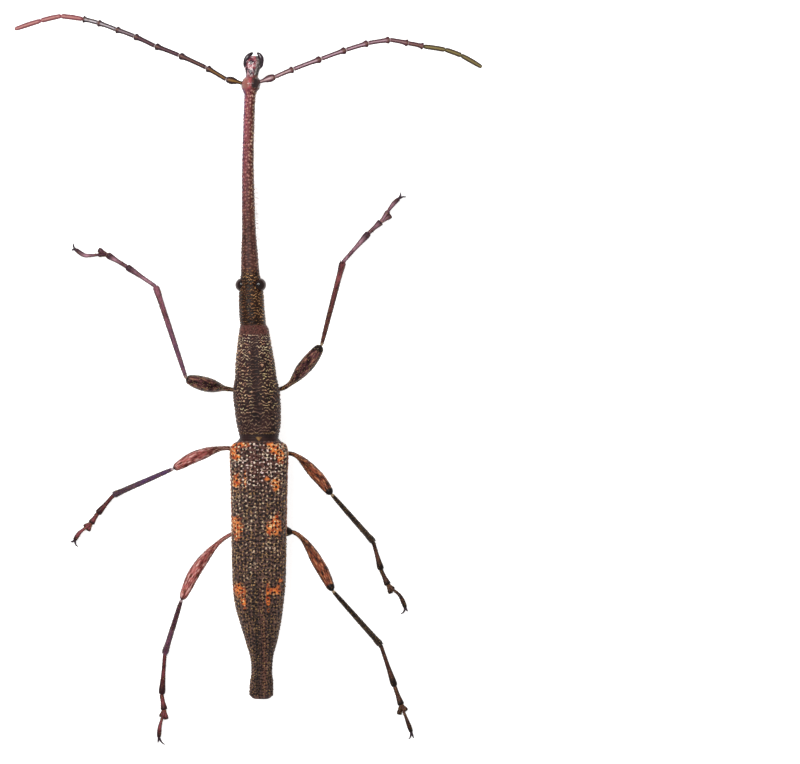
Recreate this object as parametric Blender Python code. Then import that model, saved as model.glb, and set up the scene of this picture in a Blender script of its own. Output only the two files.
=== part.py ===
"""New Zealand giraffe weevil, adult male: a still, life-size model that stands on the floor.

Metres, +Z up, +Y towards the head. The origin is on the floor, in the middle of the outline.
Sizes here are in millimetres, and each helper turns them to metres as it makes a mesh.
"""

import math

import bmesh
import bpy
import numpy as np
from mathutils import Vector

MM = 0.001
GAP = 0.3  # room between neighbouring pieces
WELD = 1e-7  # metres, for the loose caps of a tube
SIDES = {"left": -1, "right": 1}

# The body's middle line seen from above, from the tail (y) to the jaws: a slight bend.
MIDLINE_Y = [-30.0, -26.0, -20.0, -5.5, -0.9, 5.6, 11.0, 19.7, 25.5, 27.8, 30.0, 30.9]
MIDLINE_X = [1.24, 1.29, 1.05, 1.05, 0.80, 0.44, 0.18, 0.01, 0.14, 0.28, 0.55, 0.70]

# Rostrum: a long round shaft, thin in its middle and wider towards the head.
ROSTRUM_Y = [10.2, 11.3, 12.2, 14.0, 17.0, 20.5, 23.0, 25.0, 26.75]
ROSTRUM_RADIUS = [0.83, 0.77, 0.72, 0.62, 0.57, 0.52, 0.50, 0.51, 0.52]
ROSTRUM_Z = [3.50, 3.52, 3.53, 3.54, 3.50, 3.42, 3.36, 3.31, 3.28]

# Rostrum tip: the swelling that carries the antennae, a neck, and the broad flat end.
TIP_Y = [27.05, 27.3, 27.76, 28.2, 28.5, 28.9, 29.4, 29.75, 29.95]
TIP_WIDTH = [0.64, 0.81, 0.92, 0.79, 0.58, 0.66, 0.82, 0.85, 0.66]
TIP_HEIGHT = [0.62, 0.74, 0.78, 0.66, 0.52, 0.50, 0.46, 0.40, 0.30]
TIP_Z = 3.26

MANDIBLE_LENGTH = 0.75
MANDIBLE_SPREAD = 0.40
MANDIBLE_RADIUS = 0.26

# Head: from the rostrum's root back to the neck, with a hollow where each eye sits.
HEAD_Y = [5.3, 5.8, 6.6, 7.4, 8.1, 8.6, 9.2, 9.9]
HEAD_WIDTH = [1.20, 1.19, 1.18, 1.16, 1.04, 0.80, 0.80, 0.86]
HEAD_TOP = [4.72, 4.74, 4.70, 4.62, 4.52, 4.46, 4.42, 4.30]
HEAD_BOTTOM = [2.34, 2.30, 2.30, 2.36, 2.46, 2.54, 2.62, 2.72]
EYE_RADIUS = 0.66
EYE_Y = 8.92
EYE_OUT = 0.80
EYE_Z = 3.72

# Prothorax: a long barrel with a smooth front rim, a groove along its top and a rear collar.
PROTHORAX_Y = [-5.65, -5.0, -4.75, -4.2, -2.8, -1.4, 0.0, 1.5, 3.0, 4.2, 4.72, 5.0]
PROTHORAX_WIDTH = [1.80, 1.85, 1.93, 2.02, 2.15, 2.18, 1.98, 1.82, 1.62, 1.44, 1.38, 1.30]
PROTHORAX_TOP = [4.86, 4.84, 4.96, 5.08, 5.24, 5.30, 5.26, 5.16, 5.02, 4.90, 4.90, 4.80]
PROTHORAX_BOTTOM = [1.96, 1.94, 1.90, 1.82, 1.76, 1.76, 1.82, 1.96, 2.10, 2.22, 2.24, 2.30]
GROOVE_DEPTH = 0.16
GROOVE_FRONT = 3.6
GROOVE_REAR = -4.6

# Elytra: two ribbed shells that meet at the suture and run out in a flat rounded tail.
ELYTRA_Y = [-29.95, -29.8, -29.4, -28.2, -27.1, -26.0, -24.6, -23.0, -21.2, -19.0, -14.0, -9.0,
            -7.6, -6.5, -6.15, -5.95]
ELYTRA_WIDTH = [0.50, 0.88, 1.12, 1.07, 0.97, 1.07, 1.44, 1.86, 2.24, 2.48, 2.58, 2.68,
                2.74, 2.72, 2.60, 2.38]
ELYTRA_TOP = [3.52, 3.56, 3.62, 3.76, 3.90, 4.08, 4.40, 4.78, 5.10, 5.30, 5.44, 5.40,
              5.28, 5.10, 5.00, 4.86]
ELYTRA_EDGE = [2.95, 2.93, 2.92, 2.94, 2.98, 3.05, 3.12, 3.20, 3.26, 3.30, 3.34, 3.38,
               3.40, 3.42, 3.46, 3.56]
ELYTRA_STATIONS = 30
ELYTRON_WALL = 0.60
RIBS = 9
RIB_HEIGHT = 0.09

# Underside: the rear thorax, which carries the middle and hind legs, and the abdomen.
BELLY_Y = [-26.4, -25.8, -24.6, -23.0, -20.0, -15.5, -12.0, -8.5, -6.9, -5.95]
BELLY_WIDTH = [0.60, 0.88, 1.24, 1.69, 2.26, 2.44, 2.50, 2.55, 2.52, 2.15]
BELLY_BOTTOM = [2.62, 2.40, 2.10, 1.86, 1.50, 1.22, 1.18, 1.36, 1.54, 1.80]
THORAX_SPAN = (-15.3, -5.95)
ABDOMEN_SPAN = (-26.4, -15.6)
SEGMENT_ENDS = [-23.6, -21.9, -20.1, -17.9]
SEGMENT_STEP = 0.05

# Legs: places seen from above, as the photo shows the pose, and the heights common to them.
COXA_RADIUS = 0.55
COXAE = {"front": (-1.05, 0.95, 1.62), "middle": (-7.0, 1.15, 1.38), "hind": (-14.1, 1.25, 1.26)}
CLUB_RADIUS = {"front": 0.70, "middle": 0.56, "hind": 0.57}
KNEE_Z = {"front": 4.7, "middle": 4.8, "hind": 4.9}
LEG_PLAN = {
    "front_left": {"side": (-1.5, -0.9), "club": (-3.95, -0.4), "knee": (-5.75, 0.1),
                   "ankle": (-8.7, 8.8), "pad": (-13.8, 12.0), "claw": (-15.9, 12.15)},
    "front_right": {"side": (3.2, -0.8), "club": (5.4, 1.3), "knee": (6.9, 3.2),
                    "ankle": (8.9, 11.1), "pad": (13.0, 15.3), "claw": (14.1, 17.0)},
    "middle_left": {"side": (-2.0, -6.4), "club": (-4.7, -7.1), "knee": (-6.95, -8.3),
                    "ankle": (-12.65, -10.8), "pad": (-15.1, -13.8), "claw": (-16.35, -15.2)},
    "middle_right": {"side": (3.8, -6.9), "club": (6.4, -8.9), "knee": (7.85, -10.7),
                     "ankle": (11.75, -15.2), "pad": (13.4, -19.6), "claw": (14.7, -21.6)},
    "hind_left": {"side": (-1.8, -14.6), "club": (-4.8, -17.75), "knee": (-6.2, -20.6),
                  "ankle": (-7.84, -25.7), "pad": (-7.9, -31.5), "claw": (-8.4, -33.7)},
    "hind_right": {"side": (4.2, -14.3), "club": (6.8, -17.5), "knee": (7.95, -19.75),
                   "ankle": (12.45, -24.9), "pad": (14.4, -31.0), "claw": (15.3, -33.4)},
}
SIDE_Z = 1.72
CLUB_Z = 3.55
ANKLE_Z = 0.48
TIBIA_BOW = 0.22
SLIM = 0.25  # the least radius of a feeler or a foot
FLOOR_AXIS = 0.20

# How thick each long piece is, at shares of its length.
FEMUR_SHARES = [0.0, 0.12, 0.28, 0.44, 0.58, 0.72, 0.86, 1.0]
FEMUR_SWELL = [0.10, 0.04, 0.22, 0.74, 1.0, 0.84, 0.44, 0.34]
TIBIA_SHARES = [0.0, 0.08, 0.3, 0.7, 0.92, 1.0]
TIBIA_RADIUS = [0.30, 0.25, 0.25, 0.27, 0.32, 0.34]
FOOT_SHARES = [0.0, 0.08, 0.34, 0.58, 0.62, 0.82, 0.86, 1.0]
FOOT_RADIUS = [0.27, 0.25, 0.26, 0.33, 0.25, 0.33, 0.26, 0.30]
LOBE_SPREAD = 0.20
CLAW_REACH = 0.52
CLAW_SPREAD = 0.30

# Antennae: eleven joints each, seen from above, with the joint ends as shares of the length.
ANTENNA_PLAN = {
    "left": [(-0.75, 27.95), (-2.3, 28.3), (-6.7, 30.5), (-10.9, 32.4), (-15.6, 33.9),
             (-18.1, 34.1), (-21.85, 32.95)],
    "right": [(1.25, 28.15), (2.6, 28.5), (7.1, 30.2), (11.5, 31.6), (13.8, 31.8),
              (18.6, 30.9), (21.85, 29.4)],
}
ANTENNA_LIFT = [0.0, 0.1, 0.7, 1.2, 1.35, 1.3, 0.9]
JOINT_ENDS = [0.0, 0.072, 0.165, 0.292, 0.400, 0.496, 0.575, 0.655, 0.718, 0.803, 0.882, 1.0]
JOINT_NODE = 0.31
JOINT_CLUB = 0.29

DARK_BROWN = (0.035, 0.022, 0.018)
RED_BROWN = (0.16, 0.060, 0.042)
EYE_BROWN = (0.012, 0.006, 0.004)


def smooth(at, places, values):
    """Reads a line through (place, value) pairs: cubics that never overshoot a pair."""
    x = np.asarray(places, float)
    y = np.asarray(values, float)
    step = np.diff(x)
    rise = np.diff(y) / step
    slope = np.zeros_like(y)
    turns = rise[1:] * rise[:-1] > 0
    total = np.where(turns, rise[1:] + rise[:-1], 1.0)
    slope[1:-1] = np.where(turns, 2 * rise[1:] * rise[:-1] / total, 0.0)
    slope[0] = rise[0]
    slope[-1] = rise[-1]
    i = np.clip(np.searchsorted(x, at) - 1, 0, len(step) - 1)
    t = (np.asarray(at) - x[i]) / step[i]
    start = (1 + 2 * t) * (1 - t) ** 2 * y[i] + t * (1 - t) ** 2 * step[i] * slope[i]
    end = t * t * (3 - 2 * t) * y[i + 1] - t * t * (1 - t) * step[i] * slope[i + 1]
    return start + end


def midline(y):
    """The x of the body's middle line at y."""
    return smooth(y, MIDLINE_Y, MIDLINE_X)


def along(points, shares):
    """Points at shares of the length of a smooth line through the given points."""
    points = np.asarray(points, float)
    steps = np.linalg.norm(np.diff(points, axis=0), axis=1)
    chord = np.concatenate([[0.0], np.cumsum(steps)]) / steps.sum()
    fine = np.linspace(0.0, 1.0, 241)
    line = np.stack([smooth(fine, chord, points[:, k]) for k in range(3)], axis=1)
    runs = np.linalg.norm(np.diff(line, axis=0), axis=1)
    length = np.concatenate([[0.0], np.cumsum(runs)]) / runs.sum()
    return np.stack([np.interp(shares, length, line[:, k]) for k in range(3)], axis=1)


def add(name, mesh, collection):
    """Puts a mesh in the scene as an object of its own."""
    body = bpy.data.objects.new(name, mesh)
    collection.objects.link(body)
    return body


def loft(name, rings, collection):
    """A closed solid through a stack of closed sections with equal numbers of points."""
    rings = np.asarray(rings) * MM
    stations, count = rings.shape[:2]
    mesh = bmesh.new()
    rows = [[mesh.verts.new(point) for point in ring] for ring in rings]
    for low, high in zip(rows, rows[1:]):
        for k in range(count):
            after = (k + 1) % count
            mesh.faces.new((low[k], low[after], high[after], high[k]))
    mesh.faces.new(rows[0])
    mesh.faces.new(rows[-1])
    bmesh.ops.recalc_face_normals(mesh, faces=mesh.faces)
    bmesh.ops.triangulate(mesh, faces=mesh.faces)
    made = bpy.data.meshes.new(name)
    mesh.to_mesh(made)
    mesh.free()
    return add(name, made, collection)


def tube(name, points, radii, collection, roundness=2):
    """A round tube along a line of points, with a radius at each, made into a closed mesh."""
    curve = bpy.data.curves.new(name, "CURVE")
    curve.dimensions = "3D"
    curve.bevel_depth = MM
    curve.bevel_resolution = roundness
    curve.use_fill_caps = True
    curve.render_resolution_u = 0
    line = curve.splines.new("POLY")
    line.points.add(len(points) - 1)
    for knot, place, radius in zip(line.points, points, radii):
        knot.co = (*(np.asarray(place) * MM), 1.0)
        knot.radius = radius
    guide = add(name + "_guide", curve, collection)
    made = bpy.data.meshes.new_from_object(guide.evaluated_get(
        bpy.context.evaluated_depsgraph_get()))
    bpy.data.objects.remove(guide)
    body = add(name, made, collection)
    reshape(body, lambda mesh: bmesh.ops.remove_doubles(mesh, verts=mesh.verts, dist=WELD))
    return body


def reshape(body, change):
    """Runs one bmesh change on an object's mesh."""
    mesh = bmesh.new()
    mesh.from_mesh(body.data)
    change(mesh)
    mesh.to_mesh(body.data)
    mesh.free()


def trim(body, place, outward):
    """Cuts an object at a plane, drops what lies outward of it and closes the cut."""
    def cut(mesh):
        bmesh.ops.bisect_plane(mesh, geom=mesh.verts[:] + mesh.edges[:] + mesh.faces[:],
                               plane_co=Vector(np.asarray(place) * MM),
                               plane_no=Vector(outward), clear_outer=True, dist=WELD)
        rim = [edge for edge in mesh.edges if edge.is_boundary]
        bmesh.ops.holes_fill(mesh, edges=rim)
        bmesh.ops.recalc_face_normals(mesh, faces=mesh.faces)
    reshape(body, cut)


def keep_largest(body):
    """Keeps the closed surface of an object that has the most volume."""
    def choose(mesh):
        shells = []
        waiting = set(mesh.verts)
        while waiting:
            shell = {waiting.pop()}
            front = list(shell)
            while front:
                vert = front.pop()
                near = {edge.other_vert(vert) for edge in vert.link_edges}
                new = near & waiting
                waiting.difference_update(new)
                shell.update(new)
                front.extend(new)
            shells.append(shell)
        def span(shell):
            corners = np.array([vert.co for vert in shell])
            return float(np.prod(np.ptp(corners, axis=0)))
        largest = max(shells, key=span)
        rest = [vert for vert in mesh.verts if vert not in largest]
        bmesh.ops.delete(mesh, geom=rest, context="VERTS")
    reshape(body, choose)


def join(body, others):
    """Fuses closed pieces into one body by a single Boolean union."""
    group = bpy.data.collections.new("joining")
    bpy.context.scene.collection.children.link(group)
    for other in others:
        group.objects.link(other)
    fuse = body.modifiers.new("join", "BOOLEAN")
    fuse.operation = "UNION"
    fuse.operand_type = "COLLECTION"
    fuse.collection = group
    made = bpy.data.meshes.new_from_object(body.evaluated_get(
        bpy.context.evaluated_depsgraph_get()))
    body.modifiers.clear()
    body.data = made
    for other in list(group.objects):
        bpy.data.objects.remove(other)
    bpy.data.collections.remove(group)
    keep_largest(body)
    return body


def ball(name, centre, radius, collection, around=14, rings=9):
    """A round ball."""
    mesh = bmesh.new()
    bmesh.ops.create_uvsphere(mesh, u_segments=around, v_segments=rings, radius=radius * MM)
    bmesh.ops.translate(mesh, vec=Vector(np.asarray(centre) * MM), verts=mesh.verts)
    made = bpy.data.meshes.new(name)
    mesh.to_mesh(made)
    mesh.free()
    return add(name, made, collection)


def mitre(before, joint, after):
    """The unit direction of travel halfway through a bend."""
    way_in = np.subtract(joint, before)
    way_out = np.subtract(after, joint)
    turn = way_in / np.linalg.norm(way_in) + way_out / np.linalg.norm(way_out)
    return turn / np.linalg.norm(turn)


def part_at(before, after, joint, direction):
    """Trims two tubes that run through a joint so that they face each other over the gap."""
    half = np.asarray(direction) * GAP / 2
    trim(before, joint - half, direction)
    trim(after, joint + half, -direction)


def oval(count, half_width, top, bottom, squareness=2.3):
    """A closed section in x and z: an oval with fuller corners than an ellipse."""
    turn = np.arange(count) * 2 * math.pi / count + math.pi / 2
    x = np.sign(np.cos(turn)) * np.abs(np.cos(turn)) ** (2 / squareness) * half_width
    z = np.sign(np.sin(turn)) * np.abs(np.sin(turn)) ** (2 / squareness)
    return np.stack([x, (top + bottom) / 2 + z * (top - bottom) / 2], axis=1)


def stand_at(section, y):
    """Sets a section across the body at y, about the middle line."""
    x = section[:, 0] + midline(y)
    return np.stack([x, np.full(len(section), y), section[:, 1]], axis=1)


def make_rostrum(collection):
    """The long shaft, with the swelling and broad end as a second piece."""
    points = [(midline(y), y, z) for y, z in zip(ROSTRUM_Y, ROSTRUM_Z)]
    shaft = tube("rostrum", points, ROSTRUM_RADIUS, collection, roundness=4)
    tip_rings = []
    for y in np.linspace(TIP_Y[0], TIP_Y[-1], 15):
        width = smooth(y, TIP_Y, TIP_WIDTH)
        height = smooth(y, TIP_Y, TIP_HEIGHT)
        tip_rings.append(stand_at(oval(16, width, TIP_Z + height, TIP_Z - height), y))
    return [shaft, loft("rostrum_tip", tip_rings, collection)]


def make_mandibles(collection):
    """Two short hooked jaws that close towards each other."""
    made = []
    root = TIP_Y[-1] + GAP
    for name, side in SIDES.items():
        points = []
        for reach, spread in ((0.0, 0.8), (0.35, 1.0), (0.7, 0.75), (1.0, 0.2)):
            y = root + reach * MANDIBLE_LENGTH
            points.append((midline(y) + side * spread * MANDIBLE_SPREAD, y, TIP_Z))
        radii = [MANDIBLE_RADIUS, 0.25, 0.18, 0.06]
        made.append(tube("mandible_" + name, points, radii, collection))
    return made


def make_head(collection):
    """The head, and an eye dome at each of its sides."""
    rings = []
    for y in np.linspace(HEAD_Y[0], HEAD_Y[-1], 13):
        width = smooth(y, HEAD_Y, HEAD_WIDTH)
        top = smooth(y, HEAD_Y, HEAD_TOP)
        rings.append(stand_at(oval(20, width, top, smooth(y, HEAD_Y, HEAD_BOTTOM)), y))
    made = [loft("head", rings, collection)]
    hollow = smooth(EYE_Y, HEAD_Y, HEAD_WIDTH)
    for name, side in SIDES.items():
        centre = np.array([midline(EYE_Y) + side * EYE_OUT, EYE_Y, EYE_Z])
        eye = ball("eye_" + name, centre, EYE_RADIUS, collection)
        face = np.array([midline(EYE_Y) + side * (hollow + GAP), EYE_Y, EYE_Z])
        trim(eye, face, (-side, 0, 0))
        made.append(eye)
    return made


def make_prothorax(collection):
    """The barrel behind the head, with the groove pressed in along its top."""
    rings = []
    for y in sorted(set(PROTHORAX_Y) | set(np.linspace(-3.8, 4.0, 9).round(2))):
        width = smooth(y, PROTHORAX_Y, PROTHORAX_WIDTH)
        top = smooth(y, PROTHORAX_Y, PROTHORAX_TOP)
        section = oval(36, width, top, smooth(y, PROTHORAX_Y, PROTHORAX_BOTTOM))
        if GROOVE_REAR < y < GROOVE_FRONT:
            section[0, 1] -= GROOVE_DEPTH
        rings.append(stand_at(section, y))
    return loft("prothorax", rings, collection)


def shell_section(side, width, top, edge):
    """One elytron cut across: a ribbed outer arch and a plain inner one."""
    wall = min(ELYTRON_WALL, 0.45 * (top - edge), 0.6 * width)
    outer_turn = np.linspace(math.pi / 2, 0, 2 * RIBS + 1)
    inner_turn = np.linspace(0, math.pi / 2, 6)
    outer = np.stack([np.cos(outer_turn) ** 0.75, np.sin(outer_turn) ** 0.75], axis=1)
    inner = np.stack([np.cos(inner_turn) ** 0.75, np.sin(inner_turn) ** 0.75], axis=1)
    outer *= (width - GAP / 2, top - edge)
    inner *= (width - wall - GAP / 2, top - edge - wall)
    rib = RIB_HEIGHT * min(1.0, width / 2.5)
    reach = np.linalg.norm(outer, axis=1, keepdims=True)
    outer[1::2] *= 1 - rib / reach[1::2]
    section = np.concatenate([outer, inner])
    return np.stack([side * (section[:, 0] + GAP / 2), section[:, 1] + edge], axis=1)


def make_elytra(collection):
    """The two wing cases, from the square shoulders to the rounded tail."""
    spread = np.linspace(0.0, 1.0, ELYTRA_STATIONS)
    stations = smooth(spread, np.linspace(0.0, 1.0, len(ELYTRA_Y)), ELYTRA_Y)
    made = []
    for name, side in SIDES.items():
        rings = []
        for y in stations:
            width = smooth(y, ELYTRA_Y, ELYTRA_WIDTH)
            top = smooth(y, ELYTRA_Y, ELYTRA_TOP)
            edge = smooth(y, ELYTRA_Y, ELYTRA_EDGE)
            rings.append(stand_at(shell_section(side, width, top, edge), y))
        made.append(loft("elytron_" + name, rings, collection))
    return made


def trunk_section(y, swell):
    """The body under the elytra: a round belly, a shoulder below their edge, a back inside."""
    edge = smooth(y, ELYTRA_Y, ELYTRA_EDGE) - GAP
    bottom = min(smooth(y, BELLY_Y, BELLY_BOTTOM) - swell, edge - 0.1)
    width = smooth(y, BELLY_Y, BELLY_WIDTH) + swell
    top = smooth(y, ELYTRA_Y, ELYTRA_TOP)
    rise = top - edge - GAP
    wall = min(ELYTRON_WALL, 0.45 * rise)
    inside = max(0.3, smooth(y, ELYTRA_Y, ELYTRA_WIDTH) - wall - 1.6 * GAP)
    roof = max(0.15, top - wall - 1.6 * GAP - edge)
    below = np.linspace(math.pi, 2 * math.pi, 13)
    above = np.linspace(0, math.pi, 9)
    belly = np.stack([width * np.cos(below), (edge - bottom) * np.sin(below)], axis=1)
    back = np.stack([min(inside, width - 0.2) * np.cos(above), roof * np.sin(above)], axis=1)
    section = np.concatenate([belly, back])
    section[:, 1] += edge
    return section


def make_underside(collection):
    """The rear thorax and the abdomen, whose plates each end in a small step."""
    thorax = [stand_at(trunk_section(y, 0.0), y) for y in np.linspace(*THORAX_SPAN, 9)]
    stations = list(np.linspace(*ABDOMEN_SPAN, 11))
    for end in SEGMENT_ENDS:
        stations += [end - 0.12, end]
    abdomen = []
    for y in sorted(stations):
        swell = SEGMENT_STEP if y in SEGMENT_ENDS else 0.0
        abdomen.append(stand_at(trunk_section(y, swell), y))
    return [loft("rear_thorax", thorax, collection), loft("abdomen", abdomen, collection)]


def coxa_centre(pair, side):
    """Where a coxa sits under the body."""
    y, out, z = COXAE[pair]
    return np.array([midline(y) + SIDES[side] * out, y, z])


def make_coxae(carriers, collection, cutters):
    """A ball for each coxa, in a round socket cut in the part that carries it."""
    made = []
    for pair in COXAE:
        for side in SIDES:
            centre = coxa_centre(pair, side)
            made.append(ball(f"coxa_{pair}_{side}", centre, COXA_RADIUS, collection, 12, 8))
            socket = ball(f"socket_{pair}_{side}", centre, COXA_RADIUS + GAP, cutters, 12, 8)
            socket.display_type = "WIRE"
            socket.hide_render = True
            cut = carriers[pair].modifiers.new(socket.name, "BOOLEAN")
            cut.operation = "DIFFERENCE"
            cut.object = socket
    return made


def leg_points(pair, side):
    """The named places of one leg in space."""
    plan = LEG_PLAN[f"{pair}_{side}"]
    hip = coxa_centre(pair, side)
    heights = {"side": SIDE_Z, "club": CLUB_Z, "knee": KNEE_Z[pair], "ankle": ANKLE_Z,
               "pad": FLOOR_AXIS, "claw": FLOOR_AXIS + 0.22}
    places = {name: np.array([*plan[name], heights[name]]) for name in plan}
    places["hip"] = hip
    return places


def extend(points, share):
    """The point a share of the last step beyond the end of a line."""
    return points[-1] + (points[-1] - points[-2]) * share


def make_femur(name, pair, at, collection):
    """The thigh: a slim stalk that swells to a club, trimmed square to the coxa."""
    shares = np.array(FEMUR_SHARES)
    line = along([at["hip"], at["side"], at["club"], at["knee"]], shares)
    radii = SLIM + (CLUB_RADIUS[pair] - SLIM) * np.array(FEMUR_SWELL)
    line = np.vstack([line, extend(line, 0.8)])
    femur = tube("femur_" + name, line, [*radii, radii[-1]], collection, roundness=3)
    out = (at["side"] - at["hip"]) / np.linalg.norm(at["side"] - at["hip"])
    trim(femur, at["hip"] + out * (COXA_RADIUS + GAP), -out)
    return femur, line[-3]


def make_tibia(name, at, collection):
    """The shin: nearly straight, widening to a blunt lower end."""
    middle = (at["knee"] + at["ankle"]) / 2 + np.array([0, 0, TIBIA_BOW])
    line = along([at["knee"], middle, at["ankle"]], TIBIA_SHARES)
    run_in = line[0] - (line[1] - line[0]) * 1.2
    points = np.vstack([run_in, line, extend(line, 0.9)])
    radii = [TIBIA_RADIUS[0], *TIBIA_RADIUS, TIBIA_RADIUS[-1]]
    return tube("tibia_" + name, points, radii, collection), line


def make_tarsus(name, at, collection):
    """The foot: two long joints, a cleft pad, the claw joint and its two claws."""
    ankle, pad, claw = at["ankle"], at["pad"], at["claw"]
    line = ankle + np.outer(FOOT_SHARES, pad - ankle)
    settle = np.array(FOOT_SHARES) / 0.34
    line[:, 2] = np.where(settle < 1, ankle[2] + (FLOOR_AXIS - ankle[2]) * settle, FLOOR_AXIS)
    run_in = line[0] - (line[1] - line[0]) * 1.2
    points = np.vstack([run_in, line])
    body = tube("tarsus_" + name, points, [FOOT_RADIUS[0], *FOOT_RADIUS], collection)
    ahead = (pad - ankle) / np.linalg.norm(pad - ankle)
    ahead[2] = 0
    across = np.array([-ahead[1], ahead[0], 0])
    others = []
    for side in SIDES.values():
        heel = pad - ahead * 0.45 + across * side * LOBE_SPREAD * 0.4
        toe = pad + ahead * 0.28 + across * side * LOBE_SPREAD * 1.3
        others.append(tube("lobe", [heel, pad + across * side * LOBE_SPREAD, toe],
                           [0.22, 0.26, 0.16], collection))
    lift = np.array([0, 0, 0.24])
    root = pad - ahead * 0.30 + lift * 0.6
    arch = along([root, (root + claw) / 2 + lift, claw], [0, 0.25, 0.5, 0.75, 1.0])
    others.append(tube("claw_joint", arch, [0.2, SLIM, SLIM, SLIM, 0.24], collection))
    onward = claw - arch[-2]
    onward[2] = 0
    onward /= np.linalg.norm(onward)
    across = np.array([-onward[1], onward[0], 0])
    for side in SIDES.values():
        hook = []
        for reach, spread, drop in ((-0.25, 0.25, 0.0), (0.4, 0.8, 0.0), (0.8, 1.1, 0.08),
                                    (1.0, 1.1, 0.2)):
            step = onward * reach * CLAW_REACH + across * side * spread * CLAW_SPREAD
            hook.append(claw + step - np.array([0, 0, drop]))
        others.append(tube("claw", hook, [0.16, 0.15, 0.11, 0.05], collection))
    join(body, others)
    trim(body, (0, 0, 0), (0, 0, -1))
    keep_largest(body)
    return body, line


def make_leg(pair, side, collection):
    """Thigh, shin and foot, parted across the knee and the ankle."""
    name = f"{pair}_{side}"
    at = leg_points(pair, side)
    femur, above_knee = make_femur(name, pair, at, collection)
    tibia, shin = make_tibia(name, at, collection)
    tarsus, foot = make_tarsus(name, at, collection)
    part_at(femur, tibia, at["knee"], mitre(above_knee, at["knee"], shin[1]))
    part_at(tibia, tarsus, at["ankle"], mitre(shin[-2], at["ankle"], foot[1]))
    return [femur, tibia, tarsus]


def joint_profile(first, last, node):
    """Shares and radii for a run of antenna joints, each slim and ending in a knot."""
    shares = []
    radii = []
    for start, end in zip(JOINT_ENDS[first:last], JOINT_ENDS[first + 1:last + 1]):
        length = end - start
        shares += [start + 0.06 * length, start + 0.62 * length, start + 0.86 * length]
        radii += [SLIM - 0.03, SLIM, node]
    return shares + [JOINT_ENDS[last]], radii + [SLIM - 0.03]


def make_antenna(side, collection):
    """Scape, funicle and club, parted across the line."""
    route = [(*place, TIP_Z + lift) for place, lift in zip(ANTENNA_PLAN[side], ANTENNA_LIFT)]
    runs = {"scape": (0, 1, 0.36), "funicle": (1, 8, JOINT_NODE), "club": (8, 11, JOINT_CLUB)}
    made = []
    for run, (first, last, node) in runs.items():
        shares, radii = joint_profile(first, last, node)
        if last == len(JOINT_ENDS) - 1:
            radii[-2:] = [SLIM, 0.08]
        shares[0] -= 0.02 if first else 0.0
        shares[-1] += 0.02 if last < len(JOINT_ENDS) - 1 else 0.0
        points = along(route, shares)
        made.append(tube(f"antenna_{side}_{run}", points, radii, collection))
    for index, place in enumerate((JOINT_ENDS[1], JOINT_ENDS[8])):
        before, joint, after = along(route, [place - 0.02, place, place + 0.02])
        part_at(made[index], made[index + 1], joint, mitre(before, joint, after))
    wall = midline(TIP_Y[2]) + SIDES[side] * (TIP_WIDTH[2] + GAP)
    trim(made[0], (wall, 0, 0), (-SIDES[side], 0, 0))
    return made


def paint(body, colour, roughness):
    """Gives an object a material of its own."""
    finish = bpy.data.materials.new(body.name + "_finish")
    finish.use_nodes = True
    shader = finish.node_tree.nodes["Principled BSDF"]
    shader.inputs["Base Color"].default_value = (*colour, 1.0)
    shader.inputs["Roughness"].default_value = roughness
    body.data.materials.clear()
    body.data.materials.append(finish)


def finish_of(name):
    """Colour and roughness by the kind of piece."""
    if name.startswith("eye"):
        return EYE_BROWN, 0.12
    if name.startswith(("femur", "antenna")):
        return RED_BROWN, 0.5
    return DARK_BROWN, 0.45


def main():
    for old in list(bpy.data.objects):
        bpy.data.objects.remove(old)
    scene = bpy.context.scene
    weevil = bpy.data.collections.new("giraffe_weevil")
    cutters = bpy.data.collections.new("cutters")
    scene.collection.children.link(weevil)
    scene.collection.children.link(cutters)

    pieces = make_rostrum(weevil) + make_mandibles(weevil) + make_head(weevil)
    prothorax = make_prothorax(weevil)
    rear_thorax, abdomen = make_underside(weevil)
    pieces += [prothorax, rear_thorax, abdomen] + make_elytra(weevil)
    carriers = {"front": prothorax, "middle": rear_thorax, "hind": rear_thorax}
    pieces += make_coxae(carriers, weevil, cutters)
    for pair in COXAE:
        for side in SIDES:
            pieces += make_leg(pair, side, weevil)
    for side in SIDES:
        pieces += make_antenna(side, weevil)

    root = bpy.data.objects.new("giraffe_weevil", None)
    weevil.objects.link(root)
    for piece in pieces:
        piece.parent = root
        paint(piece, *finish_of(piece.name))


main()
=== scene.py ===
# %% [markdown]
# # A giraffe weevil, surface by surface
#
# The adult male of the New Zealand giraffe weevil is a long thin beetle: half of it is snout. Its
# outside is a set of hard plates, and nearly everything the eye sees is relief on those plates:
# wrinkles, rows of grains and pits, and tiny gold scales that grow along them.
#
# The lesson loads the solid model as a fixed frame, makes each plate as a fine surface worked out
# with numpy, gives it relief by moving its points along their normals, and then grows the scales
# and hairs on it. Sizes are in millimetres and become metres when a mesh is made.

# %% Load the frame
import math

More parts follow.
